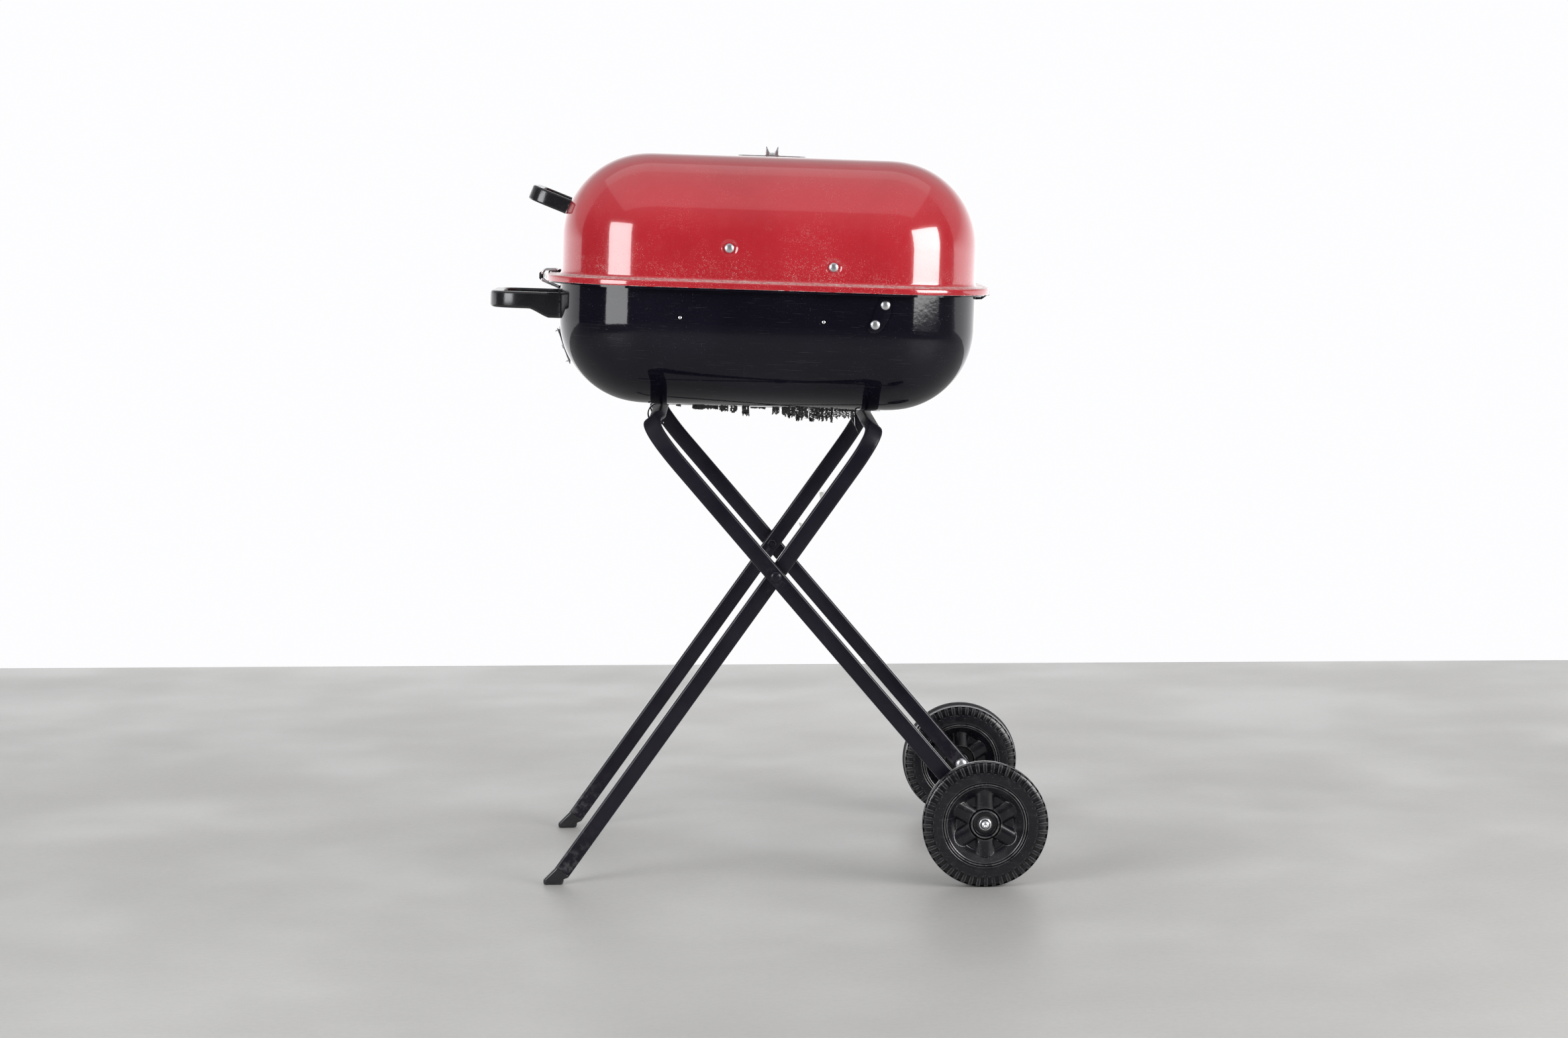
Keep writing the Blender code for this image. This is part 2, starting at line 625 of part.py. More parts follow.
# ---------------------------------------------------------------------- latch
LATCH_X, LATCH_Z = -0.2580, -0.0120     # latch wire axis
LATCH_Y = 0.021                         # half width of the latch wire
LATCH_ORIGIN = (LATCH_X, 0, LATCH_Z)
LATCH_EYE_R, LATCH_BORE_R, LATCH_BORE_L = 0.0042, 0.0015, 0.06
LATCH_LUG_Y = LATCH_Y - 0.0035
CATCH_Y = 0.013
CATCH_BACK_X = -(SHELL_X + LIP_OUT + GAP)    # against the front of the hood's lip
# (x, z)
CATCH = [
    (-0.2605, LIP_H + GAP), (-0.2605, 0.0125), (-0.2575, 0.0128), (-0.2575, 0.0148),
    (-0.2600, 0.0149), (-0.2650, 0.0140), (-0.2690, 0.0126), (-0.2722, 0.0109),
    (-0.2738, 0.0098), (-0.2744, 0.0088), (-0.2744, -0.0004),
    (CATCH_BACK_X, -0.0004), (CATCH_BACK_X, LIP_H + GAP),
]
# near half of the wire, (x, y, z)
LATCH_WIRE = [
    (LATCH_X, -LATCH_Y + 0.0120, LATCH_Z), (LATCH_X, -LATCH_Y, LATCH_Z),
    (-0.2815, -LATCH_Y, -0.0025), (-0.2822, -LATCH_Y, 0.0100),
    (-0.2770, -LATCH_Y, 0.0160), (-0.2650, -LATCH_Y, 0.0160),
]


def make_latch_lug():
    """The lug on the bowl that carries the latch wire."""
    wall_x = -(SHELL_X + GAP)
    outline = [
        (wall_x, LATCH_Z - 0.0050), (wall_x, -0.0034), (LATCH_X + 0.0005, LATCH_Z + 0.0050),
    ]
    outline += arc(LATCH_X, LATCH_Z, LATCH_EYE_R, range(120, 271, 30))
    lug = node("latch_lug", extruded(outline, -LATCH_LUG_Y, LATCH_LUG_Y), FRAME, body)
    start = (LATCH_X, -LATCH_BORE_L / 2, LATCH_Z)
    cut("latch_bore", cylinder(start, ACROSS, LATCH_BORE_R, LATCH_BORE_L, 14), [lug], body)


def make_latch_grip():
    """A bevelled block with an arm at each end that takes in the wire."""
    bm = box((-0.2890, -0.0150, -0.0016), (-0.28345, 0.0150, 0.0080))
    bmesh.ops.bevel(bm, geom=bm.edges[:], offset=0.0008, segments=2, affect="EDGES")
    grip = node("latch_grip", bm, PLASTIC, body, LATCH_ORIGIN)
    ends = bmesh.new()
    for side in (-1, 1):
        low_y, high_y = sorted((side * 0.0140, side * (LATCH_Y + 0.0030)))
        box((-0.2885, low_y, 0.0005), (-0.2842, high_y, 0.0060), ends)
    cut("latch_grip_ends", ends, [grip], body, "UNION")


make_latch_lug()
node("latch_catch", extruded(CATCH, -CATCH_Y, CATCH_Y), FRAME, body, HOOD_ORIGIN)
latch_path = rounded_path(LATCH_WIRE + mirrored(LATCH_WIRE), 0.0022, 2)
wire("latch_wire", latch_path, 0.0011, ZINC, body, LATCH_ORIGIN, bevel_steps=1)
make_latch_grip()

# ---------------------------------------------------------- grids and rails
GRID_RAIL_Z, GRID_RAIL_Y, GRID_RAIL_R = -0.0365, 0.1925, 0.0022
GRID_RAIL_ENDS_X = (-0.106, 0.067)
GRID_RAIL_END_Y = SHELL_Y - 0.0006      # the ends stop within the wall
GRID_RAIL_BEND = 0.0030
RAIL_HOLE_R, RAIL_HOLE_L = 0.0032, 0.02
COOKING_GRID_T = 0.0045


def make_grid_rail(where, side):
    """A wire rail along the bowl's side wall, its ends bent out into two holes."""
    for i, x in enumerate(GRID_RAIL_ENDS_X):
        start = (x, side * (SHELL_Y - RAIL_HOLE_L / 2), GRID_RAIL_Z)
        hole = cylinder(start, (0, side, 0), RAIL_HOLE_R, RAIL_HOLE_L, 14)
        cut(f"rail_hole_{where}_{i}", hole, [bowl], body)
    front_x, rear_x = GRID_RAIL_ENDS_X
    corners = [
        (front_x, GRID_RAIL_END_Y), (front_x, GRID_RAIL_Y),
        (rear_x, GRID_RAIL_Y), (rear_x, GRID_RAIL_END_Y),
    ]
    path = rounded_path([(x, side * y, GRID_RAIL_Z) for x, y in corners], GRID_RAIL_BEND, 3)
    wire(f"grid_rail_{where}", path, GRID_RAIL_R, ZINC, body)


def make_grid(name, half_x, half_y, radius, pitch, bar, rim, thick, z, look):
    """A flat grid of bars along Y and one along X, inside a rim."""
    curve = bpy.data.curves.new(name, "CURVE")
    curve.dimensions = "2D"
    curve.fill_mode = "BOTH"
    curve.extrude = thick / 2

    def loop(points):
        add_spline(curve, [(x, y, 0) for x, y in points]).use_cyclic_u = True

    def rim_y(x):
        """Inner edge of the rim."""
        past_corner = abs(x) - (half_x - radius)
        if past_corner <= 0:
            return half_y - rim
        return half_y - radius + math.sqrt((radius - rim) ** 2 - past_corner ** 2)

    loop(rounded_rect(half_x, half_y, radius, 5))
    count = int((2 * half_x - 2 * rim) // pitch)
    first_x = -count * pitch / 2
    for i in range(count):
        x0 = first_x + i * pitch + bar / 2
        x1 = first_x + (i + 1) * pitch - bar / 2
        opening = [(x0, bar / 2), (x1, bar / 2), (x1, rim_y(x1)), (x0, rim_y(x0))]
        loop(opening)
        loop([(x, -y) for x, y in reversed(opening)])
    add_object(name, curve, (0, 0, z), body)
    curve.materials.append(material(name, **look))


for where, side in SIDES:
    make_grid_rail(where, side)
make_grid(
    "cooking_grid", half_x=0.2465, half_y=0.1940, radius=0.104, pitch=0.0235, bar=0.0045,
    rim=0.0065, thick=COOKING_GRID_T, look=PLATED,
    z=GRID_RAIL_Z + GRID_RAIL_R + GAP + COOKING_GRID_T / 2,
)
make_grid(
    "charcoal_grate", half_x=0.2250, half_y=0.1700, radius=0.085, pitch=0.0340, bar=0.0070,
    rim=0.0080, thick=0.0055, look=FRAME, z=-0.1090,
)

# ---------------------------------------------------------------- leg rails
BAR_A = (-0.1305, -0.1610)         # (x, z) of the wheel frame's cross bar, in the body's frame
BAR_B = (0.1305, -0.1637)          # and of the foot frame's
LEG_RAIL_Y, LEG_RAIL_W, LEG_RAIL_T = 0.072, 0.016, 0.0015
LEG_RAIL_TOP = -(BOWL_H + GAP)
LEG_RAIL_LOW = LEG_RAIL_TOP - LEG_RAIL_T
LEG_RAIL_REAR_X = 0.1440


def make_leg_rail(where, y):
    """A strip under the bowl, curled round the front cross bar and hooked at the rear one."""
    inner_r = LEG_RAIL_LOW - BAR_A[1]
    degrees = range(90, 301, 15)
    bar_x, bar_z = BAR_B
    hook = [
        (bar_x - 0.0165, LEG_RAIL_LOW), (bar_x - 0.0150, bar_z - 0.0040),
        (bar_x - 0.0105, bar_z - 0.0135), (bar_x - 0.0125, bar_z - 0.0140),
        (bar_x - 0.0172, bar_z - 0.0042), (bar_x - 0.0187, LEG_RAIL_LOW),
    ]
    outline = arc(*BAR_A, inner_r + LEG_RAIL_T, degrees)[::-1]
    outline += [(LEG_RAIL_REAR_X, LEG_RAIL_TOP), (LEG_RAIL_REAR_X, LEG_RAIL_LOW)]
    outline += hook + arc(*BAR_A, inner_r, degrees)
    bm = extruded(outline, y - LEG_RAIL_W / 2, y + LEG_RAIL_W / 2)
    node(f"leg_rail_{where}", bm, FRAME, body)


for where, side in SIDES:
    make_leg_rail(where, side * LEG_RAIL_Y)

# ------------------------------------------------------------------ leg frames
# frame A carries the wheels and frame B, inside it, the feet
TUBE_W, TUBE_T, TUBE_WALL = 0.020, 0.012, 0.0012
LEG_A_Y, LEG_B_Y = 0.2104, 0.1965  # middles of the tubes
A_INNER, A_OUTER = LEG_A_Y - TUBE_T / 2, LEG_A_Y + TUBE_T / 2
B_INNER, B_OUTER = LEG_B_Y - TUBE_T / 2, LEG_B_Y + TUBE_T / 2
PIVOT_X, PIVOT_Z = 0.0121, 0.3755  # where the frames cross
PIVOT = (PIVOT_X, 0, PIVOT_Z)
WHEEL_X, WHEEL_R, WHEEL_W = 0.2606, 0.0762, 0.0375
WHEEL_OUT = 0.2592                 # outer face of the wheels
AXLE = (WHEEL_X, 0, WHEEL_R)
LEG_A_PAST_AXLE = 0.0155           # how far frame A runs on below the axle
FOOT_UP = 0.0165                   # height of frame B's ends

LEG_A_ANGLE = math.atan2(PIVOT_Z - WHEEL_R, WHEEL_X - PIVOT_X)
LEG_B_ANGLE = math.radians(53.7)
LEG_A_DIR = Vector((-math.cos(LEG_A_ANGLE), 0, math.sin(LEG_A_ANGLE)))
LEG_B_DIR = Vector((math.cos(LEG_B_ANGLE), 0, math.sin(LEG_B_ANGLE)))
LEG_A_BOTTOM = Vector(AXLE) - LEG_A_DIR * LEG_A_PAST_AXLE
FOOT_X = PIVOT_X - (PIVOT_Z - FOOT_UP) / math.tan(LEG_B_ANGLE)
LEG_B_BOTTOM = Vector((FOOT_X, 0, FOOT_UP))

BAR_END_INSET, BAR_PULL_INSET = 0.058, 0.006   # the bend's end and pull point, in from the leg


def body_to_world(x, z):
    """World place of a point on the middle plane of the body's frame."""
    c, s = math.cos(TILT), math.sin(TILT)
    return Vector((BODY_X + x * c + z * s, 0, BODY_Z - x * s + z * c))


def make_leg_frame(name, bottom, direction, leg_y, bar, bend, pull):
    """An inverted U of flat tube, open at both lower ends.

    bend is how far short of the bar each leg starts to bend, pull the length of
    the bend curve's handle along the leg.
    """
    straight = (bar - bottom).dot(direction) - bend
    near_bottom = bottom - ACROSS * leg_y
    start = near_bottom + direction * straight
    start_pull = start + direction * pull
    end_pull = bar - ACROSS * (leg_y - BAR_PULL_INSET)
    end = bar - ACROSS * (leg_y - BAR_END_INSET)
    half = [near_bottom, near_bottom + direction * straight * 0.5]
    for i in range(8):
        t = i / 7
        half.append(
            (1 - t) ** 3 * start + 3 * t * (1 - t) ** 2 * start_pull
            + 3 * t ** 2 * (1 - t) * end_pull + t ** 3 * end
        )
    path = half + mirrored(half)
    wide = Vector((direction.z, 0, -direction.x))
    bm = loft(sweep_rings(path, (TUBE_W, TUBE_T), wide, 0.30), (False, False))
    made = node(name, bm, FRAME, origin=bar, inside=path[-1])
    solidify(made, TUBE_WALL)
    return made


leg_a = make_leg_frame("leg_a_frame", LEG_A_BOTTOM, LEG_A_DIR, LEG_A_Y, body_to_world(*BAR_A),
                       bend=0.062, pull=0.084)
leg_b = make_leg_frame("leg_b_frame", LEG_B_BOTTOM, LEG_B_DIR, LEG_B_Y, body_to_world(*BAR_B),
                       bend=0.058, pull=0.068)

# --------------------------------------------------------------------- pivots
# profiles of (radius, distance from the middle plane)
PIVOT_BOLT = [
    (0.0030, 0.1840), (0.0030, A_OUTER + GAP), (0.0066, A_OUTER + GAP),
    (0.0070, A_OUTER + 0.0012), (0.0058, A_OUTER + 0.0028), (0.0030, A_OUTER + 0.0038),
]
PIVOT_WASHER = [
    (0.0034, B_OUTER + 0.0001), (0.0085, B_OUTER + 0.0001),
    (0.0085, A_INNER - GAP), (0.0034, A_INNER - GAP),
]
NUT_FACE = B_INNER - GAP
PIVOT_NUT = [
    (0.0038, NUT_FACE), (0.0060, NUT_FACE), (0.0060, NUT_FACE - 0.0040),
    (0.0052, NUT_FACE - 0.0055), (0.0038, NUT_FACE - 0.0055),
]


def make_pivot(where, side):
    """Bolt through both frames, a washer between them and a hexagonal nut inside."""
    outward = (0, side, 0)
    bore = cylinder((PIVOT_X, side * 0.17, PIVOT_Z), outward, 0.0034, 0.06, 16)
    cut(f"pivot_bore_{where}", bore, [leg_a, leg_b])
    bolt = lathe(PIVOT_BOLT, 16, axis_frame(PIVOT, outward))
    node(f"pivot_bolt_{where}", bolt, FRAME, origin=PIVOT)
    washer = revolve(PIVOT_WASHER, 20, PIVOT, side)
    node(f"pivot_washer_{where}", washer, PLASTIC, origin=PIVOT)
    nut = revolve(PIVOT_NUT, 6, PIVOT, side)
    node(f"pivot_nut_{where}", nut, FRAME, origin=PIVOT, smooth=20)


# ---------------------------------------------------------------------- wheels
HALF_W = WHEEL_W / 2
# (radius, distance from the wheel's middle, + towards the stand)
WHEEL = [
    (0.0052, HALF_W), (0.0052, -0.0075), (0.0105, -0.0075), (0.0112, -0.0128),
    (0.0165, -0.0128), (0.0180, -0.0070), (0.0450, -0.0045), (0.0490, -0.0162),
    (0.0640, -HALF_W), (0.0730, -HALF_W + 0.0012), (WHEEL_R, -HALF_W + 0.0062),
    (WHEEL_R, HALF_W - 0.0062), (0.0730, HALF_W - 0.0012), (0.0500, HALF_W - 0.0012),
    (0.0460, 0.0000), (0.0120, -0.0005), (0.0110, HALF_W),
]
# the rest by (radius, distance from the middle plane)
WHEEL_BOLT = [
    (0.0040, A_INNER - 0.0050), (0.0074, A_INNER - 0.0036), (0.0080, A_INNER - 0.0016),
    (0.0080, A_INNER - GAP), (0.0046, A_INNER - GAP), (0.0046, WHEEL_OUT - 0.0062),
]
SPACER_IN, SPACER_OUT = A_OUTER + GAP, WHEEL_OUT - WHEEL_W - GAP
WHEEL_SPACER = [
    (0.0050, SPACER_IN), (0.0105, SPACER_IN), (0.0105, SPACER_OUT), (0.0050, SPACER_OUT),
]
CAP_BASE = WHEEL_OUT - HALF_W + 0.0078
CAP_NUT = [
    (0.0050, CAP_BASE), (0.0074, CAP_BASE), (0.0075, CAP_BASE + 0.0045),
    (0.0062, CAP_BASE + 0.0078), (0.0036, CAP_BASE + 0.0098), (0.0006, CAP_BASE + 0.0104),
    (0.0006, WHEEL_OUT - 0.0058), (0.0050, WHEEL_OUT - 0.0058),
]


def make_wheel(where, side):
    """Wheel, the bolt it turns on, the spacer inside it and the domed nut outside."""
    outward = (0, side, 0)
    bore = cylinder((WHEEL_X, side * 0.19, WHEEL_R), outward, 0.0050, 0.04, 18)
    cut(f"axle_bore_{where}", bore, [leg_a])
    centre = (WHEEL_X, side * (WHEEL_OUT - HALF_W), WHEEL_R)
    node(f"wheel_{where}", revolve(WHEEL, 32, centre, -side), TYRE, origin=centre)
    bolt = lathe(WHEEL_BOLT, 18, axis_frame(AXLE, outward))
    node(f"wheel_bolt_{where}", bolt, ZINC, origin=AXLE)
    spacer = revolve(WHEEL_SPACER, 20, AXLE, side)
    node(f"wheel_spacer_{where}", spacer, PLASTIC, origin=AXLE)
    cap = revolve(CAP_NUT, 16, AXLE, side)
    node(f"wheel_cap_nut_{where}", cap, ZINC, origin=AXLE)


# ------------------------------------------------------------------------ feet
PLUG_CLEARANCE = 0.0008
PLUG_SIZES = (
    TUBE_W - 2 * TUBE_WALL - PLUG_CLEARANCE,
    TUBE_T - 2 * TUBE_WALL - PLUG_CLEARANCE,
)
PLUG_CORNER, FOOT_CORNER = 0.0022, 0.0036
PLUG_DEPTH, FOOT_SEAT, COLLAR_END = 0.018, 0.0004, 0.0030   # along the leg, from its end


def make_foot(where, side):
    """A plug in the leg's end with a cap cut level with the ground."""
    wide = Vector((LEG_B_DIR.z, 0, -LEG_B_DIR.x))
    top = LEG_B_BOTTOM + ACROSS * side * LEG_B_Y
    seat = top - LEG_B_DIR * FOOT_SEAT
    tube = (TUBE_W, TUBE_T)
    collar = section(top - LEG_B_DIR * COLLAR_END, wide, ACROSS, tube, FOOT_CORNER, 3)
    ground = [p - LEG_B_DIR * (p.z / LEG_B_DIR.z) for p in collar]
    middle = sum(ground, Vector()) / len(ground)
    rings = [
        section(top + LEG_B_DIR * PLUG_DEPTH, wide, ACROSS, PLUG_SIZES, PLUG_CORNER, 3),
        section(seat, wide, ACROSS, PLUG_SIZES, PLUG_CORNER, 3),
        section(seat, wide, ACROSS, tube, FOOT_CORNER, 3),
        collar,
        # the sole draws in over its last 2.2 mm
        [middle + (p - middle) * 0.98 + UPWARD * 0.0022 for p in ground],
        [middle + (p - middle) * 0.84 for p in ground],
    ]
    node(f"foot_cap_{where}", loft(rings), PLASTIC, origin=top)


for where, side in SIDES:
    make_pivot(where, side)
    make_wheel(where, side)
    make_foot(where, side)
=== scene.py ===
"""Looks of a barrel charcoal grill on two crossed leg frames.

Frame, metres: X from front (handles) to rear (wheels), Y from near to far, Z up.
Hood and bowl are drawn in the clam frame: zero is midway between their walls at the height
where they meet, and the whole clam is tipped down a little at the rear.
"""

import json
import math
import random
from collections import defaultdict
from functools import cached_property

import bmesh
import bpy
from mathutils import Matrix, Vector, noise

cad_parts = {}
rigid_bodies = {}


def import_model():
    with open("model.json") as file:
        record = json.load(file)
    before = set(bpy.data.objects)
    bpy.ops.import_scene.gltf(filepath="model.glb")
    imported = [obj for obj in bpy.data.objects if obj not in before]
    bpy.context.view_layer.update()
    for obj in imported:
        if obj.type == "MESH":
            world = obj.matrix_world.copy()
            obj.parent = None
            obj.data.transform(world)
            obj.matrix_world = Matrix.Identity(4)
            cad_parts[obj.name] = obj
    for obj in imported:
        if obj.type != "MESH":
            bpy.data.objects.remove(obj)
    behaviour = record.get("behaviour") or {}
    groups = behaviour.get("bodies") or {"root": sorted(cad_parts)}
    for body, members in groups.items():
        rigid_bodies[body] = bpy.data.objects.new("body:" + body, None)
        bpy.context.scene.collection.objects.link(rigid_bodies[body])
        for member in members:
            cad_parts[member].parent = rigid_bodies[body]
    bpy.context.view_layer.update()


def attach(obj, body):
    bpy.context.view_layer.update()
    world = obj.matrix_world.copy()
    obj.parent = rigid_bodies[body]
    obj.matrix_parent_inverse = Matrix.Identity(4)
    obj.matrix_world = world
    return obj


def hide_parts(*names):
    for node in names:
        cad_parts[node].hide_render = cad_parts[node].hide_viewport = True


for old in list(bpy.data.objects):
    bpy.data.objects.remove(old, do_unlink=True)

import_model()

# ---------------------------------------------------------------- dimensions
CLAM_X, CLAM_Z, TILT = 0.0083, 0.7208, math.radians(2.55)
SHELL_X, SHELL_Y, SHEET = 0.2554, 0.2000, 0.0015  # half length, half width, sheet thickness
# heights, radii of the crown's edge and radii of the corners seen from above
HOOD_H, HOOD_R, HOOD_PLAN_R = 0.1605, 0.107, 0.115
BOWL_H, BOWL_R, BOWL_PLAN_R = 0.1470, 0.103, 0.112
LIP_OUT, LIP_H = 0.0177, 0.0086  # flange round the hood's mouth
RIM_OUT, RIM_TOP, RIM_DROP = 0.0130, 0.0051, 0.0080  # rim round the bowl's mouth
TUBE_W, TUBE_T, TUBE_WALL = 0.020, 0.012, 0.0012
WHEEL_LEG_Y, FOOT_LEG_Y = 0.2104, 0.1965
PIVOT_X, PIVOT_Z = 0.0121, 0.3755
WHEEL_X, WHEEL_R, WHEEL_W, WHEEL_OUT = 0.2606, 0.0762, 0.0375, 0.2592
FOOT_LEG_ANGLE = math.radians(53.7)
WHEEL_BAR, FOOT_BAR = (-0.1305, -0.1610), (0.1305, -0.1637)  # frames' cross bars, clam (x, z)
HINGE_X, HINGE_Y, HINGE_Z = 0.2695, 0.090, 0.0020
LATCH_X, LATCH_Y, LATCH_Z = -0.2580, 0.021, -0.0120
RAIL_ENDS, RAIL_Y, RAIL_Z = (-0.106, 0.067), 0.1925, -0.0365  # wires that carry the grid
GAP = 0.0003  # clearance between touching parts

CLAM = Matrix.Translation((CLAM_X, 0, CLAM_Z)) @ Matrix.Rotation(TILT, 4, "Y")
HERE = Matrix.Identity(4)
SIDES = (("near", -1), ("far", 1))


# ------------------------------------------------------------------ materials
class Value:
    """One output of a node; sums and products of values make math nodes."""

    def __init__(self, look, node, output=0):
        self.look, self.node = look, node
        self.socket = node.outputs[output]

    def __getitem__(self, output):
        return Value(self.look, self.node, output)

    def __add__(self, other):
        return self.look.math("ADD", self, other)

    def __radd__(self, other):
        return self.look.math("ADD", other, self)

    def __mul__(self, other):
        return self.look.math("MULTIPLY", self, other)


class Look:
    """The node tree of a material or world, textured in the piece's own space."""

    def __init__(self, owner, shader="Principled BSDF"):
        owner.use_nodes = True
        self.owner = owner
        self.nodes = owner.node_tree.nodes
        self.links = owner.node_tree.links
        self.shader = self.nodes[shader]

    @cached_property
    def place(self):
        return self.add("ShaderNodeTexCoord")["Object"]

    @cached_property
    def surface(self):
        return self.add("ShaderNodeNewGeometry")

    def put(self, **values):
        """Sets the shader's inputs; underscores stand for spaces."""
        for key, value in values.items():
            self.join(value, self.shader.inputs[key.replace("_", " ")])

    def join(self, value, socket):
        if isinstance(value, Value):
            self.links.new(value.socket, socket)
        elif isinstance(value, tuple) and socket.type == "RGBA":
            socket.default_value = (*value, 1)
        else:
            socket.default_value = value

    def add(self, kind, inputs=None, **settings):
        made = self.nodes.new(kind)
        for key, value in settings.items():
            setattr(made, key, value)
        for key, value in (inputs or {}).items():
            self.join(value, made.inputs[key])
        return Value(self, made)

    def noise(self, scale, detail=3, rough=0.5, stretch=None, distortion=0.0):
        vector = self.place
        if stretch:
            vector = self.add("ShaderNodeMapping", {"Vector": vector, "Scale": stretch})
        return self.add("ShaderNodeTexNoise", {
            "Vector": vector, "Scale": scale, "Detail": detail, "Roughness": rough,
            "Distortion": distortion})

    def ramp(self, value, span, to=(0.0, 1.0), kind="SMOOTHSTEP"):
        return self.add("ShaderNodeMapRange", {
            "Value": value, "From Min": span[0], "From Max": span[1],
            "To Min": to[0], "To Max": to[1]}, interpolation_type=kind)

    def blotches(self, span, to=(0.0, 1.0), **pattern):
        return self.ramp(self.noise(**pattern), span, to)

    def math(self, operation, a, b=0.0):
        return self.add("ShaderNodeMath", {0: a, 1: b}, operation=operation)

    def most(self, a, b):
        return self.math("MAXIMUM", a, b)

    def capped(self, value):
        return self.math("MINIMUM", value, 1.0)

    def mix(self, factor, a, b):
        return self.add("ShaderNodeMix", {0: factor, 6: a, 7: b}, data_type="RGBA")[2]

    def mottled(self, first, second, span=(0.35, 0.65), **pattern):
        return self.mix(self.blotches(span, **pattern), first, second)

    def split(self, vector=None):
        return self.add("ShaderNodeSeparateXYZ", {0: vector or self.place})

    def specks(self, *layers):
        """Round spots in some cells of scatterings, each (scale, spot size, share of cells)."""
        out = None
        for scale, size, share in layers:
            cells = self.add("ShaderNodeTexVoronoi", {"Vector": self.place, "Scale": scale})
            pick = self.split(cells["Color"])["X"]
            spots = self.ramp(cells["Distance"], (size, size * 0.4))
            spots = spots * self.ramp(pick, (share, share - 0.02))
            out = self.most(out, spots) if out else spots
        return out

    def edges(self, low, high):
        return self.ramp(self.surface["Pointiness"], (low, high))

    def bumps(self, *layers):
        """Bumps laid one over another, each (height, strength, distance)."""
        out = None
        for height, strength, distance in layers:
            inputs = {"Height": height, "Strength": strength, "Distance": distance}
            if out:
                inputs["Normal"] = out
            out = self.add("ShaderNodeBump", inputs)
        return out


# In each material a factor says how strongly a layer counts; a roughness starts from its
# smoothest value and every layer adds to it.
def red_enamel(look):
    z = look.split()["Z"]
    tone = look.mottled((0.44, 0.017, 0.026), (0.50, 0.023, 0.034), scale=7, detail=4)
    cloud = look.blotches(scale=70, span=(0.45, 0.75), to=(0, 0.25))
    tone = look.mix(cloud, tone, (0.50, 0.035, 0.045))
    # dust: fine specks everywhere, thick just over the flange and on its top
    patch = look.blotches(scale=28, detail=5, rough=0.6, span=(0.42, 0.68))
    dust = look.specks((520, 0.26, 0.42), (900, 0.30, 0.30))
    dust = dust * look.ramp(z, (0.075, 0.010), to=(0.25, 1.0)) * (patch + 0.25)
    haze = look.blotches(scale=260, detail=6, rough=0.75, span=(0.50, 0.72))
    haze = haze * look.ramp(z, (0.040, 0.0125), to=(0.03, 0.32)) * (patch + 0.35)
    haze = haze * look.ramp(z, (0.0055, 0.0080), to=(0.15, 1.0))
    shelf = look.ramp(look.split(look.surface["Normal"])["Z"], (0.55, 0.95))
    shelf = shelf * look.ramp(z, (0.0150, 0.0120)) * look.blotches(
        scale=190, detail=6, rough=0.7, span=(0.34, 0.62), to=(0.25, 0.85))
    smudge = look.blotches(scale=13, detail=6, rough=0.6, distortion=1.5, span=(0.60, 0.72))
    smudge = smudge * look.blotches(scale=420, rough=0.7, span=(0.45, 0.65)) * 0.10
    dirt = look.capped(dust * 0.75 + haze + shelf + smudge)
    tone = look.mix(dirt, tone, (0.66, 0.55, 0.52))
    # chips along the lip's lower edge
    chip = look.ramp(z + look.noise(scale=240) * 0.0022, (0.0020, 0.0014))
    chip = chip * look.blotches(scale=150, detail=4, rough=0.65, span=(0.50, 0.56))
    chip = chip * look.blotches(scale=9, detail=2, span=(0.42, 0.56))
    edge = look.ramp(z, (0.0007, 0.0002))
    edge = edge * look.blotches(scale=60, detail=4, span=(0.42, 0.55)) * 0.7
    chip = look.most(chip, edge)
    look.put(
        Base_Color=look.mix(chip, tone, (0.74, 0.72, 0.70)),
        Roughness=0.10 + look.noise(scale=40, detail=4) * 0.10 + dirt * 0.45 + chip * 0.3,
        Coat_Weight=1.0,
        Coat_IOR=1.5,
        Coat_Roughness=0.025 + dirt * 0.35 + look.noise(scale=11) * 0.02,
        Normal=look.bumps((look.noise(scale=260, detail=2, rough=0.4), 0.05, 0.0006),
                          (look.noise(scale=26, detail=2, rough=0.4), 0.05, 0.0020),
                          (dust + chip * -2.0, 0.25, 0.0003)))


def black_enamel(look):
    tone = look.mottled((0.0046, 0.0041, 0.0088), (0.0070, 0.0062, 0.0122), scale=9, detail=4)
    patch = look.blotches(scale=22, detail=5, rough=0.6, span=(0.45, 0.70))
    dust = look.specks((480, 0.20, 0.16), (800, 0.24, 0.12)) * (patch + 0.15)
    wipe = look.blotches(scale=60, detail=5, rough=0.6, stretch=(1, 1, 6), span=(0.56, 0.75))
    wipe = wipe * look.blotches(scale=8, span=(0.45, 0.65)) * 0.05
    scratch = look.blotches(scale=30, detail=2, stretch=(1, 1, 40), distortion=0.4,
                            span=(0.66, 0.70)) * 0.05
    dirt = look.capped(dust * 0.35 + wipe + scratch)
    look.put(
        Base_Color=look.mix(dirt, tone, (0.30, 0.29, 0.30)),
        Specular_IOR_Level=0.31,
        Roughness=0.045 + look.noise(scale=35, detail=4) * 0.05 + dirt * 0.5 + wipe * 0.8,
        Normal=look.bumps((look.noise(scale=240, detail=2, rough=0.4), 0.05, 0.0005),
                          (look.noise(scale=22, detail=2, rough=0.4), 0.06, 0.0020),
                          (dust, 0.2, 0.0003)))


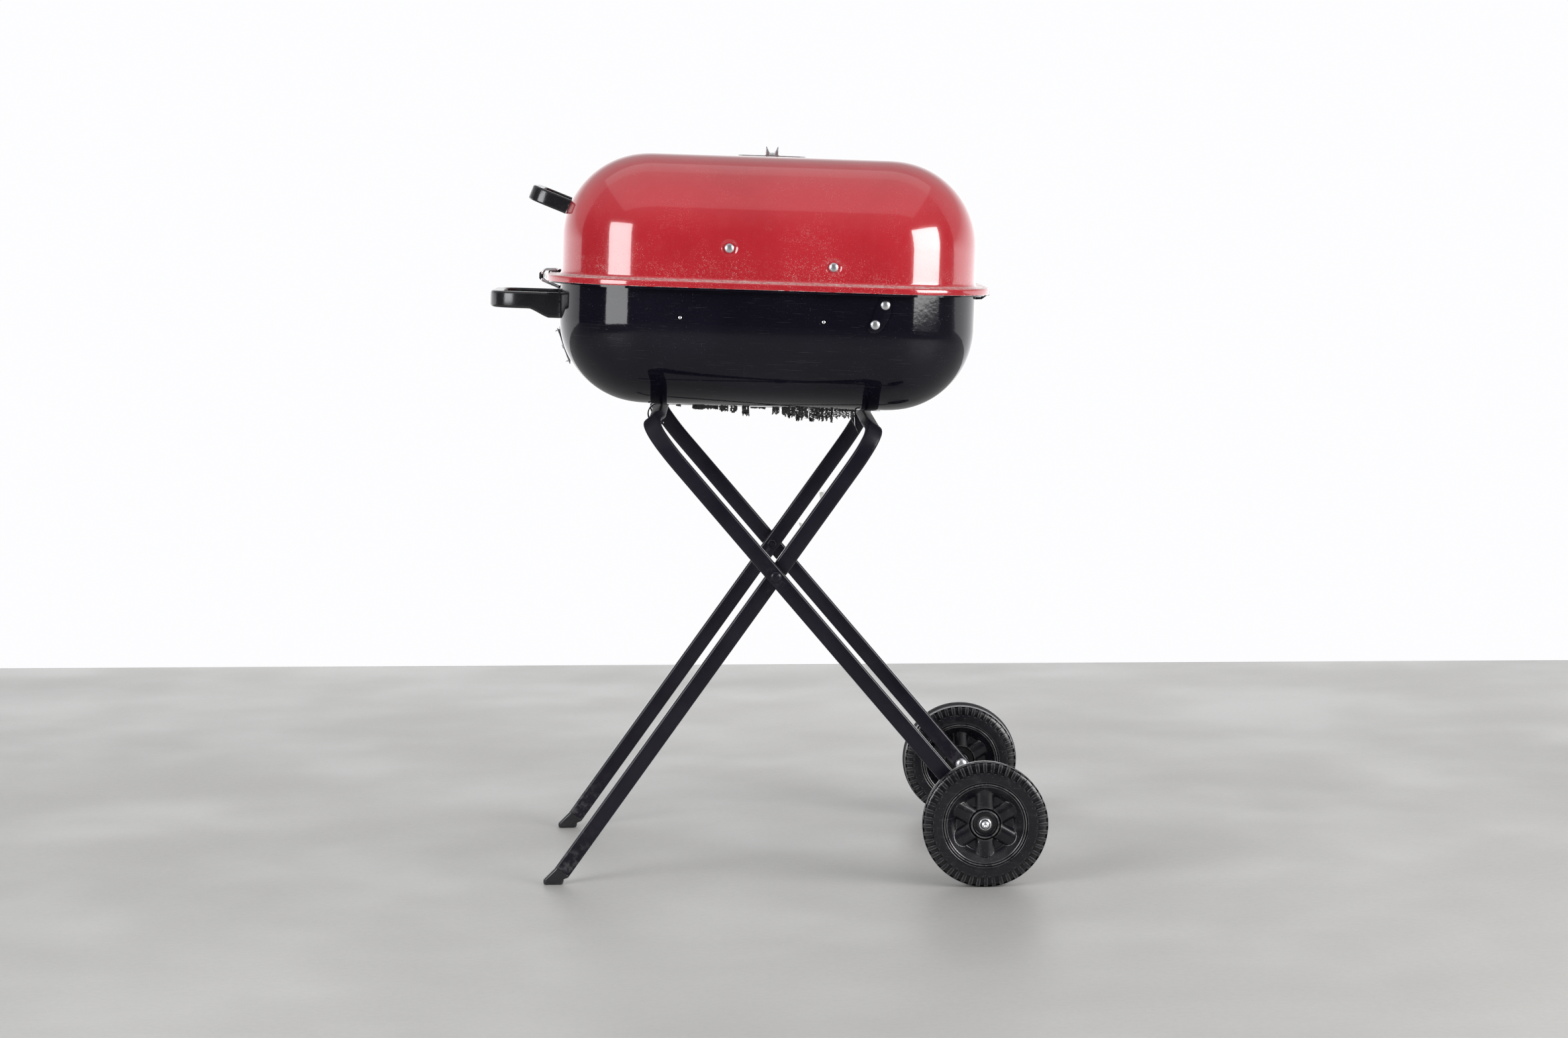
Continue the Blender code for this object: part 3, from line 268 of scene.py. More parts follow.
def black_paint(look):
    tone = look.mottled((0.0080, 0.0072, 0.0125), (0.0125, 0.0112, 0.0180), scale=16, detail=4)
    dust = look.specks((700, 0.22, 0.20), (360, 0.12, 0.10))
    dust = dust * look.blotches(scale=18, detail=4, span=(0.45, 0.68), to=(0.15, 1.0))
    scuff = look.blotches(scale=70, detail=6, rough=0.7, distortion=2.0, span=(0.64, 0.72))
    scuff = scuff * look.blotches(scale=9, detail=2, span=(0.5, 0.62)) * 0.5
    worn = look.edges(0.515, 0.60)
    worn = worn * look.blotches(scale=120, detail=4, rough=0.6, span=(0.45, 0.65))
    dirt = look.capped(dust * 0.16 + scuff * 0.06)
    tone = look.mix(dirt, tone, (0.34, 0.33, 0.33))
    # matter on the cross bars under the bowl
    smoked = look.ramp(look.split()["Z"], (0.525, 0.550))
    rough = 0.17 + look.noise(scale=60, detail=4) * 0.10 + dirt * 0.4 + scuff * 0.15
    look.put(
        Base_Color=look.mix(worn * 0.30, tone, (0.16, 0.155, 0.16)),
        Specular_IOR_Level=0.28 + smoked * -0.16,
        Roughness=rough + smoked * 0.30,
        Normal=look.bumps((look.noise(scale=520), 0.05, 0.0004),
                          (look.noise(scale=60), 0.05, 0.0010),
                          (dust, 0.25, 0.0003)))


def black_plastic(look):
    tone = look.mottled((0.0105, 0.0105, 0.0130), (0.0165, 0.0165, 0.0190), scale=30, detail=4)
    dust = look.specks((650, 0.20, 0.15)) * 0.35
    worn = look.edges(0.51, 0.58)
    worn = worn * look.blotches(scale=160, detail=4, rough=0.6, span=(0.40, 0.65)) * 0.25
    look.put(
        Base_Color=look.mix(look.most(dust, worn), tone, (0.22, 0.22, 0.23)),
        Specular_IOR_Level=0.55,
        Roughness=0.13 + look.noise(scale=90, detail=4) * 0.10 + dust * 0.6,
        Normal=look.bumps((look.noise(scale=900, detail=2), 0.10, 0.0003),
                          (look.noise(scale=45, detail=2), 0.10, 0.0012)))


def wheel_plastic(look):
    tone = look.mottled((0.0048, 0.0045, 0.0072), (0.0082, 0.0077, 0.0114),
                        scale=26, detail=5, rough=0.6)
    dust = look.specks((420, 0.20, 0.22)) * 0.30
    film = look.blotches(scale=85, detail=6, rough=0.7, span=(0.50, 0.75)) * 0.05
    worn = look.edges(0.512, 0.585)
    worn = worn * look.blotches(scale=110, detail=5, rough=0.7, span=(0.30, 0.55))
    lined = look.blotches(scale=30, stretch=(1, 1, 14), span=(0.60, 0.75)) * 0.05
    tone = look.mix(look.capped(dust + film + lined), tone, (0.30, 0.29, 0.29))
    # the tread, between the tyre's shoulders, is matter
    place = look.split()
    across, above = place["X"] + -WHEEL_X, place["Z"] + -WHEEL_R
    radius = look.math("SQRT", across * across + above * above)
    sideways = look.math("ABSOLUTE", place["Y"])
    tread = look.ramp(radius, (0.0738, 0.0748))
    tread = tread * look.ramp(sideways, (WHEEL_OUT - 0.0052, WHEEL_OUT - 0.0068))
    rough = 0.15 + look.noise(scale=70, detail=5) * 0.13 + worn * 0.15 + dust * 0.5
    look.put(
        Base_Color=look.mix(worn * 0.44, tone, (0.38, 0.37, 0.37)),
        Specular_IOR_Level=0.46 + tread * -0.36,
        Roughness=rough + tread * 0.45,
        Normal=look.bumps((look.noise(scale=620, rough=0.55), 0.10, 0.0004),
                          (look.noise(scale=55), 0.10, 0.0012)))


def steel(look, bright, dull, rough, stain):
    tone = look.mottled(bright, dull, (0.35, 0.68), scale=140, detail=5, rough=0.6)
    spot = look.blotches(scale=330, detail=5, rough=0.7, span=(0.62, 0.74))
    spot = spot * look.blotches(scale=35, span=(0.45, 0.65))
    tone = look.mix(spot * stain, tone, (0.17, 0.13, 0.10))
    brush = look.noise(scale=380, stretch=(1, 0.12, 1))
    uneven = look.noise(scale=110, detail=5) * 0.16
    look.put(
        Metallic=1.0,
        Base_Color=look.mix(look.edges(0.52, 0.62) * 0.35, tone, (0.86, 0.86, 0.87)),
        Roughness=rough + uneven + brush * 0.06 + spot * 0.25,
        Normal=look.bumps((brush, 0.12, 0.0003), (look.noise(scale=240), 0.10, 0.0005)))


def zinc_steel(look):
    steel(look, bright=(0.74, 0.75, 0.77), dull=(0.60, 0.61, 0.64), rough=0.20, stain=0.25)


def plated_steel(look):
    steel(look, bright=(0.50, 0.50, 0.51), dull=(0.38, 0.38, 0.39), rough=0.30, stain=0.55)


def torn_label(look):
    tone = look.mottled((0.50, 0.49, 0.47), (0.70, 0.69, 0.68), scale=220, detail=5, rough=0.7)
    stain = look.blotches(scale=60, span=(0.6, 0.75), to=(0, 0.5))
    look.put(
        Base_Color=look.mix(stain, tone, (0.33, 0.32, 0.31)),
        Roughness=0.55 + look.noise(scale=90, detail=4) * 0.3,
        Normal=look.bumps((look.noise(scale=520, detail=5, rough=0.7), 0.4, 0.0004)))


def burnt_flake(look):
    tone = look.mottled((0.0075, 0.0068, 0.0090), (0.032, 0.029, 0.031), (0.35, 0.70),
                        scale=170, detail=5, rough=0.7)
    look.put(
        Base_Color=look.mix(look.edges(0.52, 0.62) * 0.3, tone, (0.22, 0.21, 0.21)),
        Coat_Weight=0.2,
        Coat_Roughness=0.2,
        Roughness=0.22 + look.noise(scale=240, detail=5, rough=0.7) * 0.45,
        Normal=look.bumps((look.noise(scale=380, detail=5, rough=0.7), 0.7, 0.0008)))


def finished(build):
    look = Look(bpy.data.materials.new(build.__name__))
    build(look)
    return look.owner


LOOKS = {build.__name__: finished(build) for build in (
    red_enamel, black_enamel, black_paint, black_plastic, wheel_plastic, zinc_steel,
    plated_steel, torn_label, burnt_flake)}


# ------------------------------------------------------------ pieces and cuts
def add_object(name, data):
    made = bpy.data.objects.new(name, data)
    bpy.context.scene.collection.objects.link(made)
    return made


def shade(mesh, smooth):
    for face in mesh.polygons:
        face.use_smooth = True
    mesh.set_sharp_from_angle(angle=math.radians(smooth))


def to_mesh(name, shape):
    mesh = bpy.data.meshes.new(name)
    shape.to_mesh(mesh)
    shape.free()
    return mesh


def piece(name, shape, body, look, node=None, place=CLAM, smooth=38, inside=None,
          thick=0.0, bevel=0.0):
    """A finished piece riding on a body, standing for a CAD node if one is given.

    inside, a point under the last face, turns an open surface outwards.
    """
    bmesh.ops.recalc_face_normals(shape, faces=shape.faces)
    if inside is not None:
        shape.faces.ensure_lookup_table()
        last = shape.faces[-1]
        if (last.calc_center_median() - Vector(inside)).dot(last.normal) < 0:
            bmesh.ops.reverse_faces(shape, faces=shape.faces)
    if bevel:
        sharp = [edge for edge in shape.edges
                 if len(edge.link_faces) == 2 and edge.calc_face_angle(0) > math.radians(32)]
        bmesh.ops.bevel(shape, geom=sharp, offset=bevel, segments=2, profile=0.6,
                        affect="EDGES", clamp_overlap=True)
    mesh = to_mesh(name, shape)
    shade(mesh, smooth)
    mesh.materials.append(LOOKS[look])
    made = add_object(name, mesh)
    made.matrix_world = place
    if thick:
        sheet = made.modifiers.new("sheet", "SOLIDIFY")
        sheet.thickness = thick
        sheet.offset = -1
        sheet.use_even_offset = True
        sheet.use_quality_normals = True
    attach(made, body)
    if node:
        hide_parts(node)
    return made


CUTS = defaultdict(bmesh.new)  # by the target's name, all that is to be cut out of it


def cut(target, shape, place=CLAM):
    """Notes shape as something to be cut out of target when it is settled."""
    bmesh.ops.recalc_face_normals(shape, faces=shape.faces)
    shape.transform(place)
    CUTS[target.name].from_mesh(to_mesh("cut", shape))


def drill(targets, start, direction, radius, length, segments=24, place=CLAM):
    """Notes a round hole to be cut out of each target."""
    middle = along(start, direction) @ Matrix.Translation((0, 0, length / 2))
    for target in targets:
        shape = bmesh.new()
        bmesh.ops.create_cone(shape, cap_ends=True, segments=segments, radius1=radius,
                              radius2=radius, depth=length, matrix=middle)
        cut(target, shape, place)


def settle(target, smooth=38):
    """Takes the noted cuts out of target and turns its modifiers into its mesh."""
    cutter = None
    if target.name in CUTS:
        cutter = add_object("cuts", to_mesh("cuts", CUTS.pop(target.name)))
        boolean = target.modifiers.new("cuts", "BOOLEAN")
        boolean.solver = "EXACT"
        boolean.operation = "DIFFERENCE"
        boolean.object = cutter
    bpy.context.view_layer.update()
    graph = bpy.context.evaluated_depsgraph_get()
    made = bpy.data.meshes.new_from_object(target.evaluated_get(graph))
    target.modifiers.clear()
    target.data = made
    if cutter:
        bpy.data.objects.remove(cutter, do_unlink=True)
    shade(made, smooth)


# ---------------------------------------------------------- outlines and paths
def arc(x, z, radius, first, last, steps):
    """Points of an arc about (x, z) between two angles in degrees."""
    angles = [math.radians(first + (last - first) * i / steps) for i in range(steps + 1)]
    return [(x + radius * math.cos(a), z + radius * math.sin(a)) for a in angles]


def corner_arcs(centre_x, centre_y, radius, steps):
    signs = ((1, 1), (-1, 1), (-1, -1), (1, -1))
    return [arc(sign_x * centre_x, sign_y * centre_y, radius, 90 * i, 90 * i + 90, steps)
            for i, (sign_x, sign_y) in enumerate(signs)]


def rounded_rect(half_x, half_y, radius, steps):
    return sum(corner_arcs(half_x - radius, half_y - radius, radius, steps), [])


def bend(start, corner, end, steps):
    """A quadratic curve from start to end, drawn towards corner."""
    shares = [i / steps for i in range(steps + 1)]
    return [(1 - s) ** 2 * start + 2 * s * (1 - s) * corner + s ** 2 * end for s in shares]


def rounded_path(points, radius, steps):
    points = [Vector(p) for p in points]
    out = [points[0]]
    for previous, corner, after in zip(points, points[1:], points[2:]):
        back, ahead = previous - corner, after - corner
        toward, onward = back.normalized(), ahead.normalized()
        half = toward.angle(onward) / 2
        reach = min(radius / math.tan(half), back.length / 2, ahead.length / 2)
        out += bend(corner + toward * reach, corner, corner + onward * reach, steps)
    return out + [points[-1]]


def rounded_outline(points, radius, steps):
    """A closed 2D outline with its corners rounded."""
    out = []
    for i, corner in enumerate(points):
        corner = Vector(corner)
        back = Vector(points[i - 1]) - corner
        ahead = Vector(points[(i + 1) % len(points)]) - corner
        reach = min(radius, back.length * 0.45, ahead.length * 0.45)
        start, end = corner + back.normalized() * reach, corner + ahead.normalized() * reach
        out += [(p.x, p.y) for p in bend(start, corner, end, steps)]
    return out


def heading(path, i):
    return (path[min(i + 1, len(path) - 1)] - path[max(i - 1, 0)]).normalized()


def mirror(points):
    """Points taken backwards and to the other side, to finish a symmetric path."""
    return [Vector((x, -y, z)) for x, y, z in reversed(points)]


def smooth_step(t):
    t = min(max(t, 0), 1)
    return t * t * (3 - 2 * t)


# -------------------------------------------------------------- shape helpers
def loft(rings, caps=(True, True), closed=False, into=None):
    """Skin over rings of points; into is a shape to add it to."""
    shape = bmesh.new() if into is None else into
    made = [[shape.verts.new(p) for p in ring] for ring in rings]
    pairs = list(zip(made, made[1:]))
    if closed:
        pairs.append((made[-1], made[0]))
    for low, high in pairs:
        for i in range(len(low)):
            j = (i + 1) % len(low)
            shape.faces.new((low[i], low[j], high[j], high[i]))
    if not closed:
        if caps[0]:
            shape.faces.new(list(reversed(made[0])))
        if caps[1]:
            shape.faces.new(made[-1])
    return shape


def extruded(outline, y0, y1):
    """A solid between y0 and y1 from an (x, z) outline."""
    return loft([[Vector((x, y, z)) for x, z in outline] for y in (y0, y1)])


def sweep_rings(path, sizes, wide, corner, steps):
    """Rounded rectangles along a path; corner is a share of the shorter side."""
    rings = []
    for i, (point, (width, height)) in enumerate(zip(path, sizes)):
        ahead = heading(path, i)
        across = (wide - wide.dot(ahead) * ahead).normalized()
        normal = ahead.cross(across)
        outline = rounded_rect(width / 2, height / 2, corner * min(width, height), steps)
        rings.append([point + across * u + normal * v for u, v in outline])
    return rings


def turns(segments):
    return [2 * math.pi * i / segments for i in range(segments)]


def revolve(profile, segments, x, z, sign):
    """A ring turned about the Y line at (x, z) from closed (radius, distance out) points."""
    centre = Vector((x, 0, z))
    return loft([[Vector((r * math.cos(a), sign * y, r * math.sin(a))) + centre
                  for r, y in profile] for a in turns(segments)], closed=True)


def lathe(profile, segments, place=HERE):
    """A solid of revolution about place's Z from (radius, z) points."""
    return loft([[place @ Vector((r * math.cos(a), r * math.sin(a), z))
                  for a in turns(segments)] for r, z in profile])


def along(origin, direction):
    turn = Vector(direction).to_track_quat("Z", "Y").to_matrix().to_4x4()
    return Matrix.Translation(Vector(origin)) @ turn


def box(low, high):
    low, high = Vector(low), Vector(high)
    shape = bmesh.new()
    place = Matrix.Translation((low + high) / 2) @ Matrix.Diagonal((*(high - low), 1))
    bmesh.ops.create_cube(shape, size=1, matrix=place)
    return shape


def rounded_box(low, high, radius, segments):
    shape = box(low, high)
    bmesh.ops.bevel(shape, geom=shape.edges[:], offset=radius, segments=segments, affect="EDGES")
    return shape


def circle(centre, across, normal, radius, segments):
    return [centre + (across * math.cos(a) + normal * math.sin(a)) * radius
            for a in turns(segments)]


def rod(path, radius, segments, into=None):
    """A round wire along a path of points, with rounded ends."""
    path = [Vector(p) for p in path]
    whole = ((0, 1),)  # (shift along the wire, share of the radius)
    ends = {0: ((-0.0006, 0.45), (-0.0004, 0.8), (0, 1)),
            len(path) - 1: ((0, 1), (0.0004, 0.8), (0.0006, 0.45))}
    rings = []
    side = Vector((0, 0, 1))
    for i, point in enumerate(path):
        ahead = heading(path, i)
        if abs(side.dot(ahead)) > 0.95:
            side = Vector((1, 0, 0)) if abs(ahead.x) < 0.9 else Vector((0, 1, 0))
        side = (side - side.dot(ahead) * ahead).normalized()
        normal = ahead.cross(side)
        for shift, share in ends.get(i, whole):
            rings.append(circle(point + ahead * shift, side, normal, radius * share, segments))
    return loft(rings, into=into)


def ring_rod(path, radius):
    """A round wire along a closed path in a level plane."""
    upward = Vector((0, 0, 1))
    rings = []
    for i, point in enumerate(path):
        ahead = (path[(i + 1) % len(path)] - path[i - 1]).normalized()
        rings.append(circle(point, upward, ahead.cross(upward), radius, 12))
    return loft(rings, closed=True)


# ----------------------------------------------------------------- the shells
HOOD_RIVETS = [("front", -0.0492, 0.0487), ("rear", 0.0768, 0.0297)]  # (place, x, z)
BOWL_RIVETS = [("upper", 0.1405, -0.0135), ("lower", 0.1290, -0.0375)]
DISH, DISH_FLAT, DISH_R = 0.0013, 0.0068, 0.0118  # depth, flat radius and outer radius
FINE, FINE_REACH = 0.001, 0.014  # mesh spacing close to the rivets and holes
LIP_CURL, LIP_ROOT, RIM_ROOT = 0.0032, 0.0046, 0.0026


def graded(low, high, coarse, marks=()):
    """Places between low and high, close together near each mark."""
    out, at = [], low
    while True:
        step = FINE if any(abs(at - mark) < FINE_REACH for mark in marks) else coarse
        at += step
        if at > high - 0.4 * step:
            return out
        out.append(at)


def plan_outline(out, plan_r, xs, ys):
    """A shell seen from above, out metres beyond its walls."""
    centre_x, centre_y, radius = SHELL_X - plan_r, SHELL_Y - plan_r, plan_r + out
    edge_x, edge_y = centre_x + radius, centre_y + radius
    runs = ([(x, edge_y) for x in xs[::-1]], [(-edge_x, y) for y in ys[::-1]],
            [(x, -edge_y) for x in xs], [(edge_x, y) for y in ys])
    arcs = corner_arcs(centre_x, centre_y, radius, 22)
    return [p for corner, run in zip(arcs, runs) for p in corner + run]


def shell(height, edge_r, plan_r, side, lip, marks_x, marks_z, fine_arc):
    """Rings of a pressed half shell: lip, wall, rounded edge, flat crown.

    lip holds (out, z) points and the wall goes on from its last height; side is 1 for
    heights running up and -1 for down; fine_arc is the closely ringed start of the edge.
    """
    centre_x, centre_y = SHELL_X - plan_r, SHELL_Y - plan_r
    xs = graded(-centre_x, centre_x, 0.006, marks_x)
    ys = graded(-centre_y, centre_y, 0.009)
    profile = lip + [(0, z) for z in graded(lip[-1][1], height - edge_r, 0.004, marks_z)]
    travel, total = [0.0], edge_r * math.pi / 2
    while travel[-1] < total - 0.002:
        travel.append(travel[-1] + (0.0012 if travel[-1] < fine_arc else 0.0042))
    travel[-1] = total
    for distance in travel:
        a = distance / edge_r
        profile.append((-edge_r * (1 - math.cos(a)), height - edge_r + edge_r * math.sin(a)))
    rings = [[Vector((x, y, side * z)) for x, y in plan_outline(out, plan_r, xs, ys)]
             for out, z in profile]
    crown = rings[-1]
    for share in (0.93, 0.8, 0.6, 0.35):
        rings.append([Vector((p.x * share, p.y * share, p.z)) for p in crown])
    return rings


def dimple(shape, x, z, sign):
    """Presses a round dish into a side wall."""
    for vert in shape.verts:
        if vert.co.y * sign < SHELL_Y * 0.8:
            continue
        distance = math.hypot(vert.co.x - x, vert.co.z - z)
        if distance < DISH_R:
            fade = smooth_step((distance - DISH_FLAT) / (DISH_R - DISH_FLAT))
            vert.co.y -= sign * DISH * (1 - fade)


lip = [(LIP_OUT - 0.0007, 0.0001), (LIP_OUT - 0.0001, 0.0004), (LIP_OUT, 0.0012),
       (LIP_OUT, 0.0034), *arc(LIP_OUT - LIP_CURL, LIP_H - LIP_CURL, LIP_CURL, 0, 90, 7),
       (0.0110, LIP_H + 0.0001), (0.0080, LIP_H + 0.0001)]
# the root's last point is put at the wall's start exactly, clear of rounding
lip += arc(LIP_ROOT, LIP_H + LIP_ROOT, LIP_ROOT, 270, 180, 6)[:-1] + [(0.0, LIP_H + LIP_ROOT)]
hood_shape = loft(shell(HOOD_H, HOOD_R, HOOD_PLAN_R, 1, lip, [x for _, x, _ in HOOD_RIVETS],
                        [z for _, _, z in HOOD_RIVETS], 0.012), (False, True))
for _, x, z in HOOD_RIVETS:
    for _, sign in SIDES:
        dimple(hood_shape, x, z, sign)
hood = piece("hood_shell", hood_shape, "hood_body", "red_enamel", "hood",
             inside=(0, 0, 0.05), thick=SHEET)

# the bowl's heights run downwards: its rim stands above its own zero
rim = [(RIM_OUT, RIM_DROP - RIM_TOP), (RIM_OUT, 0.0), (RIM_OUT, -RIM_TOP + 0.0018),
       (RIM_OUT - 0.0006, -RIM_TOP + 0.0006), (RIM_OUT - 0.0018, -RIM_TOP),
       (0.0060, -RIM_TOP), (0.0024, -RIM_TOP), (0.0010, -RIM_TOP + 0.0004),
       (0.0003, -RIM_TOP + 0.0012), (0, -RIM_TOP + RIM_ROOT)]
bowl_rings = shell(BOWL_H, BOWL_R, BOWL_PLAN_R, -1, rim,
                   [x for _, x, _ in BOWL_RIVETS] + list(RAIL_ENDS),
                   [-z for _, _, z in BOWL_RIVETS], 0.010)
# narrower at the rear, where the hood's lip swings past it
for ring, share in zip(bowl_rings, (1, 1, 1, 1, 1, 0.6, 0.1)):
    for p in ring:
        p.x -= 0.0030 * smooth_step((p.x - 0.16) / 0.10) * share
# and shallower at both ends
for p in bowl_rings[0]:
    p.z += 0.0014 * smooth_step((abs(p.x) - 0.16) / 0.10)
bowl = piece("bowl_shell", loft(bowl_rings, (False, True)), "bowl_body", "black_enamel", "bowl",
             inside=(0, 0, -0.05), thick=SHEET)

# ---------------------------------------------------------------------- hinge
CLIP_TOP, CLIP_LOW, CLIP_HALF = HINGE_Z + 0.0043, HINGE_Z - 0.0032, 0.0034
HINGE_ARM = [  # (x, z)
    (SHELL_X + GAP, -0.0066), (SHELL_X + 0.0085, -0.0060),
    *arc(HINGE_X, HINGE_Z, 0.0028, -60, 120, 15),
    (HINGE_X - 0.0050, HINGE_Z + 0.0015), (SHELL_X + 0.0076, HINGE_Z - 0.0020),
    (SHELL_X + 0.0076, -0.0034), (SHELL_X + GAP, -0.0034)]
CLIP = [(0.0040, CLIP_TOP), (0.0040, CLIP_LOW), (0.0024, CLIP_LOW),
        (0.0024, CLIP_TOP - 0.0012)]  # half a channel: (from its middle, z)
HINGE_PIN = [(0.0012, -0.0060), (0.0021, -0.0058), (0.0025, -0.0053), (0.0025, -0.0045),
             (0.0014, -0.0043), (0.0014, 0.0054), (0.0010, 0.0058)]  # (radius, y)

for side, sign in SIDES:
    y = sign * HINGE_Y
    arm = piece(f"hinge_arm_{side}", extruded(HINGE_ARM, y - 0.002, y + 0.002), "bowl_body",
                "black_paint", f"hinge_lug_{side}", bevel=0.0004)
    channel = [(y - out, z) for out, z in CLIP] + [(y + out, z) for out, z in CLIP[::-1]]
    clip = loft([[Vector((x, *p)) for p in channel]
                 for x in (HINGE_X - CLIP_HALF, HINGE_X + CLIP_HALF)])
    clip = piece(f"hinge_clip_{side}", clip, "hood_body", "red_enamel", f"hinge_strap_{side}",
                 bevel=0.0003)
    drill((arm, clip), (HINGE_X, y - 0.012, HINGE_Z), (0, 1, 0), 0.0017, 0.024)
    settle(arm)
    settle(clip)
    pin = lathe(HINGE_PIN, 28, along((HINGE_X, y, HINGE_Z), (0, 1, 0)))
    piece(f"hinge_rod_{side}", pin, "bowl_body", "zinc_steel", f"hinge_pin_{side}")
    # notches in the lip and rim that clear the hinge
    cut(hood, box((HINGE_X - 0.0005, y - 0.0105, -0.002),
                  (HINGE_X + 0.008, y + 0.0105, HINGE_Z + 0.0045)))
    cut(bowl, box((SHELL_X + 0.0055, y - 0.0085, -0.006), (SHELL_X + 0.020, y + 0.0085, 0.0065)))

# --------------------------------------------------------- brackets and rivets
DOME = [  # (radius, outwards)
    (0.0042, 0.0), (0.0042, 0.0008), (0.0024, 0.0010), (0.0024, 0.0064), (0.0056, 0.0064),
    (0.0059, 0.0067), (0.0060, 0.0072), (0.0058, 0.0078), (0.0052, 0.0085), (0.0043, 0.0090),
    (0.0030, 0.0094), (0.0016, 0.0096), (0.0003, 0.00965)]
STAY = [(-0.0492, 0.0487), (0.014, 0.0392), (0.0768, 0.0297), (0.105, 0.0180)]  # (x, z)
PLATE = [  # (x, z)
    (0.1330, -0.0075), (0.1240, -0.0330), (0.1195, -0.0425), (0.1225, -0.0475),
    (0.1310, -0.0482), (0.1370, -0.0440), (0.1440, -0.0330), (0.1478, -0.0240),
    (0.1478, -0.0085), (0.1440, -0.0045), (0.1370, -0.0040)]
STAY_FACE = SHELL_Y - SHEET - GAP - DISH
PLATE_FACE = SHELL_Y + GAP + 0.0001


def strip_outline(points, width):
    """A strip along points, narrowed at both ends and run on by half its width."""
    points = [Vector(p) for p in points]
    last = len(points) - 1
    left, right = [], []
    for i, point in enumerate(points):
        ahead = heading(points, i)
        across = Vector((-ahead.y, ahead.x)) * width / 2 * (0.55 if i in (0, last) else 1)
        point = point + ahead * (width / 2 * ((i == last) - (i == 0)))
        left.append(point + across)
        right.append(point - across)
    return left + right[::-1]


def riveted(part, kind, side, sign, outline, faces, drill_from, shell_piece, look, bevel,
            rivets, rivet_from):
    """A flat plate between two faces against a shell's side wall, with its domed rivets."""
    shape = extruded(outline, sign * faces[0], sign * faces[1])
    plate = piece(f"{part}_{kind}_{side}", shape, f"{part}_body", look,
                  f"{part}_bracket_{side}", bevel=bevel)
    out = (0, sign, 0)
    for label, x, z in rivets:
        drill((shell_piece, plate), (x, sign * drill_from, z), out, 0.0028, 0.05)
        piece(f"{part}_stud_{side}_{label}",
              lathe(DOME, 36, along((x, sign * rivet_from, z), out)), f"{part}_body",
              "zinc_steel", f"{part}_rivet_{side}_{label}")
    settle(plate)


for side, sign in SIDES:
    riveted("hood", "stay", side, sign,
            outline=rounded_outline(strip_outline(STAY, 0.015), 0.004, 3),
            faces=(STAY_FACE - 0.0018, STAY_FACE), drill_from=STAY_FACE - 0.02,
            shell_piece=hood, look="plated_steel", bevel=0.0003,
            rivets=HOOD_RIVETS, rivet_from=SHELL_Y - 0.0062 - DISH)
    riveted("bowl", "plate", side, sign, outline=rounded_outline(PLATE, 0.004, 5),
            faces=(PLATE_FACE, PLATE_FACE + 0.0016), drill_from=PLATE_FACE - 0.02,
            shell_piece=bowl, look="black_enamel", bevel=0.0006,
            rivets=BOWL_RIVETS, rivet_from=SHELL_Y - 0.0041)

# -------------------------------------------------------------------- handles
HOOD_GRIP_Y, HOOD_GRIP_REACH, HOOD_GRIP_ANGLE = 0.075, 0.0455, math.radians(20.3)
HOOD_GRIP_END, HOOD_GRIP_SIZE = (0.0187, 0.0102), (0.0185, 0.0100)
BOWL_GRIP_Y, BOWL_GRIP_X = 0.077, -0.3440 + 0.0065  # centre lines of its arms and bar
BOWL_GRIP_T = 0.013
GRIP_TOP, GRIP_LOW, GRIP_BASE_LOW = -0.0152, -0.0358, -0.0465
FLARE_FROM, FLARE_TO = 0.2935, 0.2700  # the arms deepen between these, going rearwards
SCREW = [(0.0040, 0.0), (0.0045, 0.0006), (0.0045, 0.0018), (0.0040, 0.0020),
         (0.0022, 0.0021), (0.0022, 0.0145), (0.0016, 0.0150)]  # (radius, outwards)

out = Vector((-math.cos(HOOD_GRIP_ANGLE), 0, math.sin(HOOD_GRIP_ANGLE)))
upward = Vector((math.sin(HOOD_GRIP_ANGLE), 0, math.cos(HOOD_GRIP_ANGLE)))
seat = Vector((-(SHELL_X - HOOD_R), 0, HOOD_H - HOOD_R)) + out * (HOOD_R + 0.0005)


def lead(end, following):
    """An end of a path with two more stations close behind it."""
    return [end, end.lerp(following, 0.08), end.lerp(following, 0.5)]


half = [seat + Vector((0, -HOOD_GRIP_Y, 0)),
        seat + Vector((0, -HOOD_GRIP_Y, 0)) + out * HOOD_GRIP_REACH]
path = rounded_path(half + mirror(half), 0.022, 16)
path = lead(path[0], path[1]) + path[1:-1] + lead(path[-1], path[-2])[::-1]
sizes = [HOOD_GRIP_END] + [HOOD_GRIP_SIZE] * (len(path) - 2) + [HOOD_GRIP_END]
hood_handle = piece("hood_grab_handle", loft(sweep_rings(path, sizes, upward, 0.26, 6)),
                    "hood_body", "black_plastic", "hood_handle")

